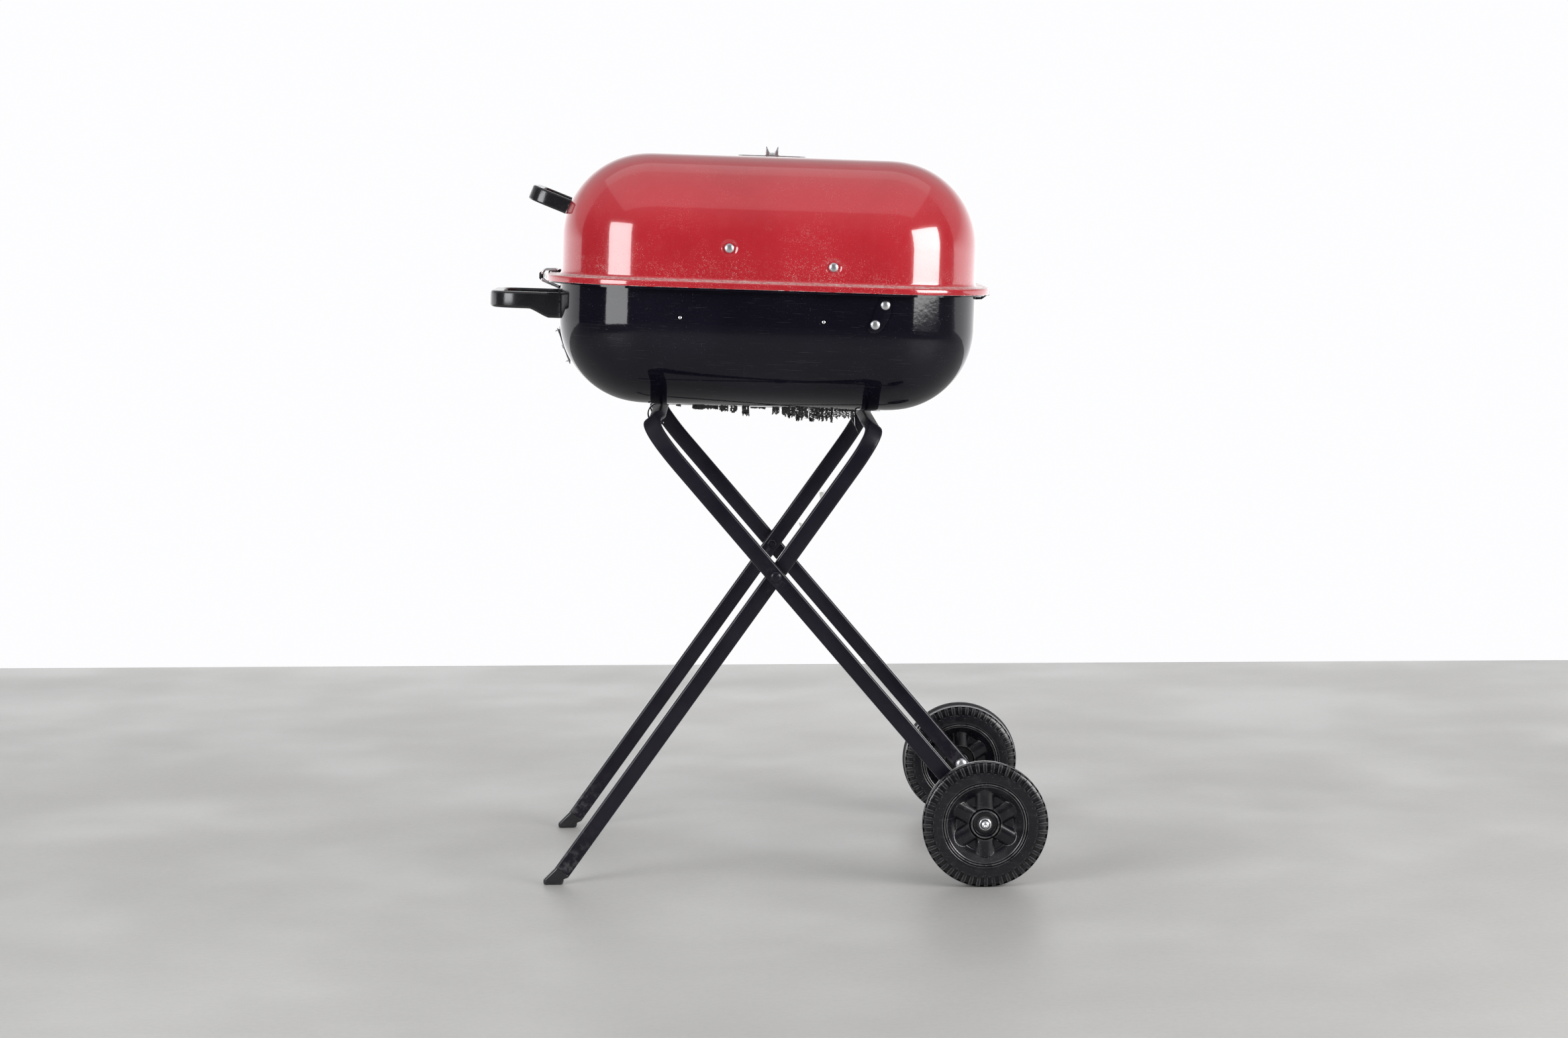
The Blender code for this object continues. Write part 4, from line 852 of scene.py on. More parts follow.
front = -(SHELL_X + 0.0004)
half = [(front, -BOWL_GRIP_Y, 0), (BOWL_GRIP_X, -BOWL_GRIP_Y, 0)]
stations = [front] + [-0.2580 - 0.0040 * i for i in range(9)] + [-0.2930, -0.2960]
arm = [Vector((x, -BOWL_GRIP_Y, 0)) for x in stations]
path = arm + rounded_path(half + mirror(half), 0.034, 20)[1:-1] + mirror(arm)
rings = []
for i, p in enumerate(path):
    flare = min(max((p.x + FLARE_FROM) / (FLARE_FROM - FLARE_TO), 0), 1)
    flare = flare * 0.7 + 0.3 * smooth_step(flare)
    low = GRIP_LOW + (GRIP_BASE_LOW - GRIP_LOW) * flare
    ahead = heading(path, i)
    across = Vector((-ahead.y, ahead.x, 0))
    centre = Vector((p.x, p.y, (GRIP_TOP + low) / 2))
    outline = rounded_rect((GRIP_TOP - low) / 2, BOWL_GRIP_T / 2, 0.0034, 6)
    rings.append([centre + Vector((0, 0, u)) + across * v for u, v in outline])
bowl_handle = piece("bowl_grab_handle", loft(rings), "bowl_body", "black_plastic",
                    "bowl_handle")

for side, sign in SIDES:
    hood_start = seat + Vector((0, sign * HOOD_GRIP_Y, 0)) - out * 0.0060
    bowl_start = Vector((-(SHELL_X - 0.0040), sign * BOWL_GRIP_Y, -0.0290))
    for part, targets, start, direction in (
            ("hood", (hood, hood_handle), hood_start, out),
            ("bowl", (bowl, bowl_handle), bowl_start, Vector((-1, 0, 0)))):
        drill(targets, start - direction * 0.004, direction, 0.0026, 0.024)
        piece(f"{part}_handle_bolt_{side}", lathe(SCREW, 28, along(start, direction)),
              f"{part}_body", "zinc_steel", f"{part}_handle_screw_{side}")
settle(hood_handle)
settle(bowl_handle)

# -------------------------------------------------------------------- dampers
LIFT, DAMPER_T = 0.0005, 0.0012
DAMPER_TOP = LIFT + DAMPER_T
VENT_RING, SLOT_R, VENT_R, DAMPER_BORE = 0.0155, 0.0045, 0.0048, 0.0027
WING_X, WING_R, WING_HALF, WING_ANGLE = 0.016, 0.026, 0.0235, 42  # the angle in degrees
WAIST = [(0.0200, 0.0215), (0.0150, 0.0209), (0.0100, 0.0208),
         (-0.0100, 0.0208), (-0.0150, 0.0209), (-0.0200, 0.0215)]  # (x, y) of one long side
EAR = [(0.0076, LIFT + 0.0006), (0.0076, 0.0100), (0.0073, 0.0134), (0.0060, 0.0105),
       (0.0046, 0.0080), (0.0034, 0.0058), (0.0030, 0.0036), (0.0031, LIFT + 0.0006)]  # (x, z)
FOLD = [(-0.0092, DAMPER_TOP - 0.0004), (0.0092, DAMPER_TOP - 0.0004),
        (0.0080, 0.0030), (-0.0080, 0.0030)]  # (x, z)
STAND = 0.0025  # how far the front damper stands off the bowl


def damper_outline():
    outline = []
    for sign in (1, -1):
        for i in range(17):
            a = math.radians(-WING_ANGLE + 2 * WING_ANGLE * i / 16)
            tall = math.sin(a) / math.sin(math.radians(WING_ANGLE))
            outline.append((sign * (WING_X + WING_R * math.cos(a)), sign * WING_HALF * tall))
        outline += [(sign * x, sign * y) for x, y in WAIST]
    return outline


def damper(name, place, shell_piece, fixed_body, tip=1.0, sink=0.0):
    """A butterfly vent plate with turned-up pointed ears, its rivet and the vents under it.

    tip scales the ears' height; sink lengthens the rivet inwards.
    """
    place = CLAM @ place
    body = f"{name}_plate"

    def drill_ring(target, first_angle, start, radius, length):
        for i in range(4):
            a = math.radians(first_angle + 90 * i)
            at = (VENT_RING * math.cos(a), VENT_RING * math.sin(a), start)
            drill([target], at, (0, 0, 1), radius, length, 36, place)

    shape = loft([[Vector((x, y, z)) for x, y in damper_outline()] for z in (LIFT, DAMPER_TOP)])
    plate = piece(body, shape, body, "plated_steel", name, place, bevel=0.0003)
    drill_ring(plate, 0, -0.004, SLOT_R, 0.010)
    drill([plate], (0, 0, -0.01), (0, 0, 1), DAMPER_BORE, 0.02, 30, place)
    settle(plate)
    for side, sign in SIDES:
        for end, flip in (("a", -1), ("b", 1)):
            ear = [(flip * x, LIFT + (z - LIFT) * tip) for x, z in EAR]
            piece(f"{name}_ear_{side}_{end}", extruded(ear, sign * 0.0196, sign * 0.0207),
                  body, "plated_steel", place=place, bevel=0.00025)
        # the folded root the ears rise from
        piece(f"{name}_fold_{side}", extruded(FOLD, sign * 0.0180, sign * 0.0206), body,
              "plated_steel", place=place, bevel=0.0006)
    drill_ring(shell_piece, 45, -0.015, VENT_R, 0.0152)
    drill([shell_piece], (0, 0, -0.02), (0, 0, 1), DAMPER_BORE, 0.04, 30, place)
    top = DAMPER_TOP + 0.0003
    profile = [(0.0045, -0.0048 - sink), (0.0045, -0.0036 - sink), (0.0024, -0.0036 - sink),
               (0.0024, top), (0.0058, top), (0.0060, top + 0.0005), (0.0058, 0.0034),
               (0.0050, 0.0043), (0.0038, 0.0050), (0.0022, 0.0054), (0.0006, 0.0055)]
    piece(f"{name}_stud", lathe(profile, 36), fixed_body, "zinc_steel", f"{name}_rivet", place)


damper("top_damper", Matrix.Translation((0.0006, 0, HOOD_H)), hood, "hood_body")
slope = math.radians(21.3)
outward = Vector((-math.cos(slope), 0, -math.sin(slope)))
sideways = Vector((0, 1, 0))
at = Vector((-(SHELL_X - BOWL_R), 0, -(BOWL_H - BOWL_R))) + outward * (BOWL_R + 0.0002 + STAND)
turn = Matrix((sideways, outward.cross(sideways), outward)).transposed().to_4x4()
damper("front_damper", Matrix.Translation(at) @ turn, bowl, "bowl_body", tip=0.50, sink=STAND)

# ---------------------------------------------------------------------- latch
LIP_FACE = -(SHELL_X + LIP_OUT + GAP)
LATCH_BLOCK = [  # (x, z)
    (-(SHELL_X + GAP), LATCH_Z - 0.0050), (-(SHELL_X + GAP), -0.0034),
    (LATCH_X + 0.0005, LATCH_Z + 0.0050), *arc(LATCH_X, LATCH_Z, 0.0042, 120, 270, 10)]
LATCH_HOOK = [  # (x, z)
    (-0.2585, LIP_H + GAP), (-0.2583, 0.0104), (-0.2590, 0.0115), (-0.2602, 0.0121),
    (-0.2616, 0.0118), (-0.2626, 0.0109), (-0.2634, 0.0102), (-0.2700, 0.0101),
    (-0.2732, 0.0100), (-0.2740, 0.0096), (-0.2744, 0.0088), (-0.2744, -0.0004),
    (LIP_FACE, -0.0004), (LIP_FACE, LIP_H + GAP)]
BAIL = [  # near half of the wire, (x, y, z)
    (LATCH_X, -LATCH_Y + 0.0120, LATCH_Z), (LATCH_X, -LATCH_Y, LATCH_Z),
    (-0.2815, -LATCH_Y, -0.0025), (-0.2818, -LATCH_Y, 0.0078), (-0.2790, -LATCH_Y, 0.0112),
    (-0.2650, -LATCH_Y, 0.0116)]

block = piece("latch_block", extruded(LATCH_BLOCK, -LATCH_Y + 0.0035, LATCH_Y - 0.0035),
              "bowl_body", "black_paint", "latch_lug", bevel=0.0004)
drill([block], (LATCH_X, -0.03, LATCH_Z), (0, 1, 0), 0.0015, 0.06)
settle(block)
piece("latch_hook", extruded(LATCH_HOOK, -0.013, 0.013), "hood_body", "black_paint",
      "latch_catch", bevel=0.0003)
piece("latch_bail", rod(rounded_path(BAIL + mirror(BAIL), 0.0017, 6), 0.0011, 12), "latch",
      "zinc_steel", "latch_wire")
grip = rounded_box((-0.2858, -0.0150, -0.0016), (-0.2803, 0.0150, 0.0080), 0.0011, 4)
for _, sign in SIDES:
    low, high = sorted((sign * 0.0140, sign * (LATCH_Y + 0.0030)))
    tab = rounded_box((-0.2853, low, 0.0005), (-0.2801, high, 0.0060), 0.0009, 3)
    grip.from_mesh(to_mesh("tab", tab))
piece("latch_pull", grip, "latch", "black_plastic", "latch_grip")

# ----------------------------------------------------------- grids and rails
RAIL_R, GRID_WIRE = 0.0022, 0.00225

for side, sign in SIDES:
    for x in RAIL_ENDS:
        drill([bowl], (x, sign * (SHELL_Y - 0.01), RAIL_Z), (0, sign, 0), 0.0032, 0.02, 28)
    front, rear = RAIL_ENDS
    outer, inner = sign * (SHELL_Y - 0.0006), sign * RAIL_Y
    path = rounded_path([(front, outer, RAIL_Z), (front, inner, RAIL_Z),
                         (rear, inner, RAIL_Z), (rear, outer, RAIL_Z)], 0.0030, 6)
    piece(f"grid_ledge_{side}", rod(path, RAIL_R, 16), "bowl_body", "zinc_steel",
          f"grid_rail_{side}")
settle(hood, 32)
settle(bowl, 32)


def grid(name, node, body, look, half_x, half_y, radius, pitch, wire, z):
    """Round wires along Y, welded into a rim of round wire, with one wire along X."""
    edge_x, edge_y = half_x - wire, half_y - wire
    shape = ring_rod([Vector((x, y, z)) for x, y in
                      rounded_rect(edge_x, edge_y, radius - wire, 16)], wire)
    count = int((2 * half_x - 0.016) // pitch)
    thin = wire * 0.86
    for i in range(count + 1):
        x = -count * pitch / 2 + i * pitch
        over = abs(x) - (half_x - radius)
        reach = edge_y
        if over > 0:
            reach = half_y - radius + math.sqrt(max((radius - wire) ** 2 - over ** 2, 0))
        if reach > 0.02 and abs(x) < edge_x:
            rod([(x, reach * share, z) for share in (-1, -0.5, 0, 0.5, 1)], thin, 10, shape)
    rod([(x, 0, z - 0.0002) for x in (-edge_x, 0, edge_x)], thin, 10, shape)
    piece(name, shape, body, look, node, smooth=50)


grid("cooking_grid_wires", "cooking_grid", "grid", "plated_steel", half_x=0.2465,
     half_y=0.1940, radius=0.104, pitch=0.0156, wire=GRID_WIRE,
     z=RAIL_Z + RAIL_R + GAP + GRID_WIRE)
grid("charcoal_grate_wires", "charcoal_grate", "bowl_body", "black_paint", half_x=0.2250,
     half_y=0.1700, radius=0.085, pitch=0.0226, wire=0.00275, z=-0.1090)

# ------------------------------------------------------------------ leg clips
CLIP_Z, CLIP_T, CLIP_Y, CLIP_W = -(BOWL_H + GAP), 0.0015, 0.072, 0.016
CLIP_INNER = CLIP_Z - CLIP_T - WHEEL_BAR[1]  # inner radius round the wheel frame's bar
bar_x, bar_z = FOOT_BAR
LEG_CLIP = [  # (x, z): a strip curled round one bar and hooked in front of the other
    *arc(*WHEEL_BAR, CLIP_INNER + CLIP_T, 90, 300, 30)[::-1],
    (0.1440, CLIP_Z), (0.1440, CLIP_Z - CLIP_T),
    (bar_x - 0.0165, CLIP_Z - CLIP_T), (bar_x - 0.0150, bar_z - 0.0040),
    (bar_x - 0.0105, bar_z - 0.0135), (bar_x - 0.0125, bar_z - 0.0140),
    (bar_x - 0.0172, bar_z - 0.0042), (bar_x - 0.0187, CLIP_Z - CLIP_T),
    *arc(*WHEEL_BAR, CLIP_INNER, 90, 300, 30)]
for side, sign in SIDES:
    y = sign * CLIP_Y
    piece(f"leg_clip_{side}", extruded(LEG_CLIP, y - CLIP_W / 2, y + CLIP_W / 2), "bowl_body",
          "black_paint", f"leg_rail_{side}", bevel=0.0003)

# ----------------------------------------------------------------- leg frames
WHEEL_LEG_END, FOOT_UP = 0.0155, 0.0165  # tube past the axle; tube's end above the floor
wheel_slope = math.atan2(PIVOT_Z - WHEEL_R, WHEEL_X - PIVOT_X)
wheel_leg_dir = Vector((-math.cos(wheel_slope), 0, math.sin(wheel_slope)))
foot_leg_dir = Vector((math.cos(FOOT_LEG_ANGLE), 0, math.sin(FOOT_LEG_ANGLE)))
foot_x = PIVOT_X - (PIVOT_Z - FOOT_UP) / math.tan(FOOT_LEG_ANGLE)


def leg_frame(name, node, body, bottom, direction, bar, reach, over):
    """An inverted U of tube, from the near leg's bottom through the bar and down again.

    The bend starts reach short of the bar; over is its first control point's distance.
    """
    bottom = Vector(bottom)
    bar_x, _, bar_z = bar = CLAM @ Vector((bar[0], 0, bar[1]))
    straight = (bar - bottom).dot(direction) - reach
    half = [bottom + direction * straight * i / 12 for i in range(12)]
    start = bottom + direction * straight
    above = start + direction * over
    corner = Vector((bar_x, bottom.y + 0.006, bar_z))
    end = Vector((bar_x, bottom.y + 0.058, bar_z))
    for i in range(31):
        s = i / 30
        half.append((1 - s) ** 3 * start + 3 * s * (1 - s) ** 2 * above
                    + 3 * s ** 2 * (1 - s) * corner + s ** 3 * end)
    half += [Vector((bar_x, end.y * share, bar_z)) for share in (0.75, 0.5, 0.25)]
    path = half + mirror(half)
    wide = Vector((direction.z, 0, -direction.x))
    rings = sweep_rings(path, [(TUBE_W, TUBE_T)] * len(path), wide, 0.24, 5)
    return piece(name, loft(rings, (False, False)), body, "black_paint", node, HERE,
                 inside=path[-1], thick=TUBE_WALL, smooth=50)


wheel_leg = leg_frame(
    "wheel_leg_tube", "leg_a_frame", "wheel_leg_frame",
    (WHEEL_X - wheel_leg_dir.x * WHEEL_LEG_END, -WHEEL_LEG_Y,
     WHEEL_R - wheel_leg_dir.z * WHEEL_LEG_END),
    wheel_leg_dir, WHEEL_BAR, reach=0.062, over=0.084)
foot_leg = leg_frame(
    "foot_leg_tube", "leg_b_frame", "foot_leg_frame", (foot_x, -FOOT_LEG_Y, FOOT_UP),
    foot_leg_dir, FOOT_BAR, reach=0.058, over=0.068)

LEG_OUTER = WHEEL_LEG_Y + TUBE_T / 2
FOOT_INNER = FOOT_LEG_Y - TUBE_T / 2
NUT_Y = FOOT_INNER - GAP
# (radius, distance out from the middle)
PIVOT_SCREW = [
    (0.0022, 0.1836), (0.0030, 0.1844), (0.0030, LEG_OUTER + 0.0003),
    (0.0066, LEG_OUTER + 0.0003), (0.0070, LEG_OUTER + 0.0006), (0.0071, LEG_OUTER + 0.0012),
    (0.0068, LEG_OUTER + 0.0019), (0.0060, LEG_OUTER + 0.0027), (0.0047, LEG_OUTER + 0.0034),
    (0.0030, LEG_OUTER + 0.0038), (0.0012, LEG_OUTER + 0.0040)]
PIVOT_RING = [
    (0.0034, 0.2027), (0.0036, 0.2026), (0.0083, 0.2026), (0.0085, 0.2028),
    (0.0085, 0.2039), (0.0083, 0.2041), (0.0036, 0.2041), (0.0034, 0.2040)]
PIVOT_NUT = [(0.0038, NUT_Y), (0.0060, NUT_Y), (0.0060, NUT_Y - 0.0040),
             (0.0052, NUT_Y - 0.0055), (0.0038, NUT_Y - 0.0055)]

for side, sign in SIDES:
    out = (0, sign, 0)
    drill((wheel_leg, foot_leg), (PIVOT_X, sign * 0.17, PIVOT_Z), out, 0.0034, 0.06, 28, HERE)
    drill([wheel_leg], (WHEEL_X, sign * 0.19, WHEEL_R), out, 0.0050, 0.04, 28, HERE)
    piece(f"pivot_screw_{side}", lathe(PIVOT_SCREW, 36, along((PIVOT_X, 0, PIVOT_Z), out)),
          "wheel_leg_frame", "black_paint", f"pivot_bolt_{side}", HERE)
    piece(f"pivot_ring_{side}", revolve(PIVOT_RING, 40, PIVOT_X, PIVOT_Z, sign),
          "foot_leg_frame", "black_plastic", f"pivot_washer_{side}", HERE)
    piece(f"pivot_hex_{side}", revolve(PIVOT_NUT, 6, PIVOT_X, PIVOT_Z, sign),
          "foot_leg_frame", "black_paint", f"pivot_nut_{side}", HERE, smooth=20, bevel=0.0003)
settle(wheel_leg, 50)
settle(foot_leg, 50)

# --------------------------------------------------------------------- wheels
TREAD_PITCH = 48
NOTCH_FROM, NOTCH_TO, NOTCH_DEPTH = 0.27, 0.73, 0.0030
FRACTIONS = (0.0, 0.12, 0.24, NOTCH_FROM, 0.385, 0.5, 0.615, NOTCH_TO, 0.76, 0.88)
RIB_HALF, RIB_TALL = 0.147 * WHEEL_R, 0.0066
OUTER_FLOOR, INNER_FLOOR = 0.0143, 0.0187  # depths of the dish on either face
# faces: (radius, depth in from the tyre's side)
TYRE = [
    (0.0456, 0.0030), (0.0463, 0.0024), (0.0470, 0.0021), (0.0474, 0.0024), (0.0477, 0.0026),
    (0.0480, 0.0022), (0.0484, 0.0012), (0.0490, 0.0007), (0.0496, 0.0007), (0.0501, 0.0010),
    (0.0504, 0.0018), (0.0507, 0.0020), (0.0510, 0.0017), (0.0513, 0.0008), (0.0518, 0.0004),
    (0.0530, 0.0002), (0.0560, 0.0001), (0.0600, 0.0), (0.0628, 0.0), (0.0634, 0.0001),
    (0.0639, 0.0001), (0.0665, 0.0003), (0.0690, 0.0007), (0.0712, 0.0012), (0.0726, 0.0017),
    (0.0731, 0.0019), (0.0738, 0.0023), (0.0746, 0.0030), (0.0753, 0.0040), (0.0758, 0.0050),
    (WHEEL_R - 0.0001, 0.0062)]
OUTER_FACE = [
    (0.0052, 0.0113), (0.0100, 0.0113), (0.0132, 0.0113), (0.0141, 0.0108), (0.0147, 0.0095),
    (0.0151, 0.0075), (0.0155, 0.0063), (0.0160, 0.0060), (0.0167, 0.0060), (0.0172, 0.0063),
    (0.0176, 0.0075), (0.0181, 0.0105), (0.0186, 0.0134), (0.0192, 0.0142), (0.0210, 0.0143),
    *((0.0220 + 0.0011 * i, OUTER_FLOOR) for i in range(11)),
    (0.0342, 0.0142), (0.0350, 0.0137),
    *((0.0350 + 0.0009 * i, 0.0137 - 0.0099 * (i / 11)) for i in range(1, 12)), *TYRE]
INNER_FACE = [
    (0.0052, 0.0003), (0.0095, 0.0), (0.0106, 0.0004), (0.0110, 0.0012), (0.0113, 0.0180),
    (0.0120, INNER_FLOOR), (0.0150, INNER_FLOOR),
    *((0.0165 + 0.0014 * i, INNER_FLOOR) for i in range(13)),
    *((0.0342 + 0.0010 * i, INNER_FLOOR - 0.0150 * (i / 11)) for i in range(12)), *TYRE]
COLUMNS = [  # (angle, whether a tread notch is there)
    (2 * math.pi * (i + fraction) / TREAD_PITCH, NOTCH_FROM <= fraction <= NOTCH_TO)
    for i in range(TREAD_PITCH) for fraction in FRACTIONS]


def ribbed(radius, angle, depth, floor):
    """Depth of a face where one of its six rounded ribs may stand on the dish's floor."""
    if not 0.0188 < radius < 0.0440:
        return depth
    off = (angle - math.pi / 2) % (math.pi / 3)
    off = min(off, math.pi / 3 - off)
    share = radius * math.sin(off) / RIB_HALF
    if share >= 1:
        return depth
    return min(depth, floor - RIB_TALL * (1 - share ** 2.0) ** 0.5)


def wheel_ring(radius, depths):
    return [Vector((WHEEL_X + radius * math.cos(a), y, WHEEL_R + radius * math.sin(a)))
            for (a, _), y in zip(COLUMNS, depths)]


def wheel_face(rows, middle, out, floor, narrow=0.0):
    """Rings of one face, looking along out; narrow draws its tyre edge inwards."""
    rings = []
    for radius, depth in rows:
        places = []
        for angle, notched in COLUMNS:
            into = ribbed(radius, angle, depth, floor)
            if notched and 0.0638 < radius < 0.0755:
                into += NOTCH_DEPTH
            places.append(middle + out * (WHEEL_W / 2 - into))
        drawn = narrow * max(radius - 0.0600, 0.0) / (WHEEL_R - 0.0600)
        rings.append(wheel_ring(radius - drawn, places))
    return rings


def wheel(sign):
    """A moulded wheel: notched tyre shoulders, bead rings, a ribbed dish, a hub boss."""
    middle = sign * (WHEEL_OUT - WHEEL_W / 2)
    rings = wheel_face(OUTER_FACE, middle, sign, OUTER_FLOOR)
    for share in (0.33, 0.0, -0.33):
        y = middle + sign * share * (WHEEL_W / 2 - 0.0062)
        rings.append(wheel_ring(WHEEL_R - 0.0011 + 0.0022 * share, [y] * len(COLUMNS)))
    rings += wheel_face(INNER_FACE, middle, -sign, INNER_FLOOR, narrow=0.0022)[::-1]
    return loft(rings, closed=True)


LEG_INNER = WHEEL_LEG_Y - TUBE_T / 2
COLLAR_IN, COLLAR_OUT = LEG_OUTER + GAP, WHEEL_OUT - WHEEL_W - GAP
CAP = WHEEL_OUT - WHEEL_W / 2 + 0.0078
# (radius, distance out from the middle)
AXLE_BOLT = [
    (0.0010, LEG_INNER - 0.0056), (0.0028, LEG_INNER - 0.0055), (0.0048, LEG_INNER - 0.0050),
    (0.0064, LEG_INNER - 0.0042), (0.0075, LEG_INNER - 0.0031), (0.0080, LEG_INNER - 0.0018),
    (0.0080, LEG_INNER - 0.0008), (0.0076, LEG_INNER - 0.0003), (0.0046, LEG_INNER - 0.0003),
    (0.0046, WHEEL_OUT - 0.0062)]
COLLAR = [
    (0.0050, COLLAR_IN + 0.0002), (0.0053, COLLAR_IN), (0.0102, COLLAR_IN),
    (0.0105, COLLAR_IN + 0.0003), (0.0105, COLLAR_OUT - 0.0003), (0.0102, COLLAR_OUT),
    (0.0053, COLLAR_OUT), (0.0050, COLLAR_OUT - 0.0002)]
AXLE_CAP = [
    (0.0050, CAP), (0.0072, CAP), (0.0075, CAP + 0.0003), (0.0076, CAP + 0.0030),
    (0.0074, CAP + 0.0042), (0.0070, CAP + 0.0046), (0.0063, CAP + 0.0047),
    (0.0060, CAP + 0.0052), (0.0059, CAP + 0.0064), (0.0053, CAP + 0.0080),
    (0.0043, CAP + 0.0092), (0.0030, CAP + 0.0100), (0.0019, CAP + 0.0103),
    (0.0016, CAP + 0.0101), (0.0008, CAP + 0.0094), (0.0006, CAP + 0.0093),
    (0.0006, WHEEL_OUT - 0.0058), (0.0050, WHEEL_OUT - 0.0058)]

for side, sign in SIDES:
    piece(f"wheel_moulding_{side}", wheel(sign), f"{side}_wheel", "wheel_plastic",
          f"wheel_{side}", HERE, smooth=42)
    axle = along((WHEEL_X, 0, WHEEL_R), (0, sign, 0))
    for name, shape, look, node in (
            ("axle_bolt", lathe(AXLE_BOLT, 40, axle), "zinc_steel", "wheel_bolt"),
            ("wheel_collar", revolve(COLLAR, 40, WHEEL_X, WHEEL_R, sign), "black_plastic",
             "wheel_spacer"),
            ("axle_cap", revolve(AXLE_CAP, 44, WHEEL_X, WHEEL_R, sign), "zinc_steel",
             "wheel_cap_nut")):
        piece(f"{name}_{side}", shape, "wheel_leg_frame", look, f"{node}_{side}", HERE)

# ----------------------------------------------------------------------- feet
PLUG = (TUBE_W - 2 * TUBE_WALL - 0.0008, TUBE_T - 2 * TUBE_WALL - 0.0008, 0.0022)
BOOT = [  # (up the leg from the tube's end, (width, thickness, corner radius))
    (0.018, PLUG), (-0.0004, PLUG), (-0.0004, (TUBE_W - 0.0006, TUBE_T - 0.0006, 0.0033)),
    (-0.0008, (TUBE_W + 0.0002, TUBE_T + 0.0002, 0.0036)),
    (-0.0016, (TUBE_W + 0.0002, TUBE_T + 0.0002, 0.0036)), (-0.0030, (TUBE_W, TUBE_T, 0.0036))]
SOLE_H = 0.0062
SOLE = [(1.0, SOLE_H), (1.0, 0.0040), (0.985, 0.0026), (0.955, 0.0014), (0.90, 0.0005),
        (0.82, 0.0)]  # (share of the flat outline, height above the floor)
WIDE = Vector((foot_leg_dir.z, 0, -foot_leg_dir.x))

for side, sign in SIDES:
    end = Vector((foot_x, sign * FOOT_LEG_Y, FOOT_UP))
    rings = []
    for up_leg, (width, thickness, corner) in BOOT:
        centre = end + foot_leg_dir * up_leg
        rings.append([centre + WIDE * u + Vector((0, v, 0))
                      for u, v in rounded_rect(width / 2, thickness / 2, corner, 6)])
    flat = [p - foot_leg_dir * (p.z / foot_leg_dir.z) for p in rings[-1]]
    middle = sum(flat, Vector()) / len(flat)
    for share, lift in SOLE:
        shift = Vector((0.0006 * lift / SOLE_H, 0, lift))
        rings.append([middle + (p - middle) * share + shift for p in flat])
    piece(f"foot_boot_{side}", loft(rings), "foot_leg_frame", "black_plastic",
          f"foot_cap_{side}", HERE, smooth=50)

# ------------------------------------- burnt flakes under the bowl, label scraps
dice = random.Random(7)
STEP = 0.0009
FLAKES = [  # (from x, to x, longest, share kept), in the clam frame
    (-0.1090, -0.1020, 0.0022, 0.75), (-0.0890, -0.0560, 0.0046, 0.97),
    (-0.0560, -0.0440, 0.0062, 0.80), (-0.0420, -0.0330, 0.0064, 0.80),
    (-0.0275, -0.0180, 0.0088, 0.88), (-0.0170, 0.0020, 0.0022, 0.65),
    (0.0100, 0.0190, 0.0070, 0.78), (0.0215, 0.0400, 0.0108, 0.86),
    (0.0400, 0.0560, 0.0124, 0.84), (0.0560, 0.0860, 0.0126, 0.78),
    (0.0860, 0.1130, 0.0092, 0.62)]


def noise_at(x, y, z):
    return noise.noise(Vector((x, y, z)))


def flake(number, from_x, to_x, longest, share):
    """A ragged, curled, holed sheet hanging from the bowl, on a jittered mesh."""
    shape = bmesh.new()
    columns = max(int((to_x - from_x) / STEP), 4)
    rows = max(int(1.35 * longest / STEP), 2)
    lean = dice.uniform(-0.10, 0.10)
    base_y = -0.0812 + dice.uniform(-0.0014, 0.0010)
    places, verts = {}, {}
    for i in range(columns + 1):
        for j in range(rows + 1):
            x = from_x + i * STEP + dice.uniform(-0.3, 0.3) * STEP * (1 if j else 0.2)
            drop = j * STEP + (dice.uniform(-0.3, 0.3) * STEP if j else 0)
            curl = 0.9 * noise_at(x * 160, drop * 120, number * 7.0)
            curl += 0.4 * noise_at(x * 420, drop * 380, 3.0)
            places[i, j] = (x + lean * drop, base_y + curl * 0.0030 * (drop / 0.006),
                            -0.1484 - drop)

    def vert(key):
        if key not in verts:
            verts[key] = shape.verts.new(places[key])
        return verts[key]

    for i in range(columns):
        fall = longest * (0.85 + 0.80 * abs(noise_at(i * 0.19, number * 3.1, 0.5))
                          + 0.32 * noise_at(i * 0.61, number * 5.7, 9.5))
        for j in range(rows):
            hole = noise_at(i * 0.55, j * 0.55, number * 2.3 + 4.0)
            for corners, middle in ((((i, j), (i + 1, j), (i, j + 1)), 0.33),
                                    (((i + 1, j), (i + 1, j + 1), (i, j + 1)), 0.66)):
                if ((j + middle) * STEP > fall or (j > 0 and hole > share * 0.62)
                        or (j > 1 and dice.random() > share + 0.17)):
                    continue
                shape.faces.new([vert(key) for key in corners])
    made = piece(f"burnt_flake_{number:02d}", shape, "bowl_body", "burnt_flake",
                 smooth=60)
    sheet = made.modifiers.new("sheet", "SOLIDIFY")
    sheet.thickness = 0.0007
    sheet.offset = 0
    settle(made, 60)


for number, measures in enumerate(FLAKES):
    flake(number, *measures)

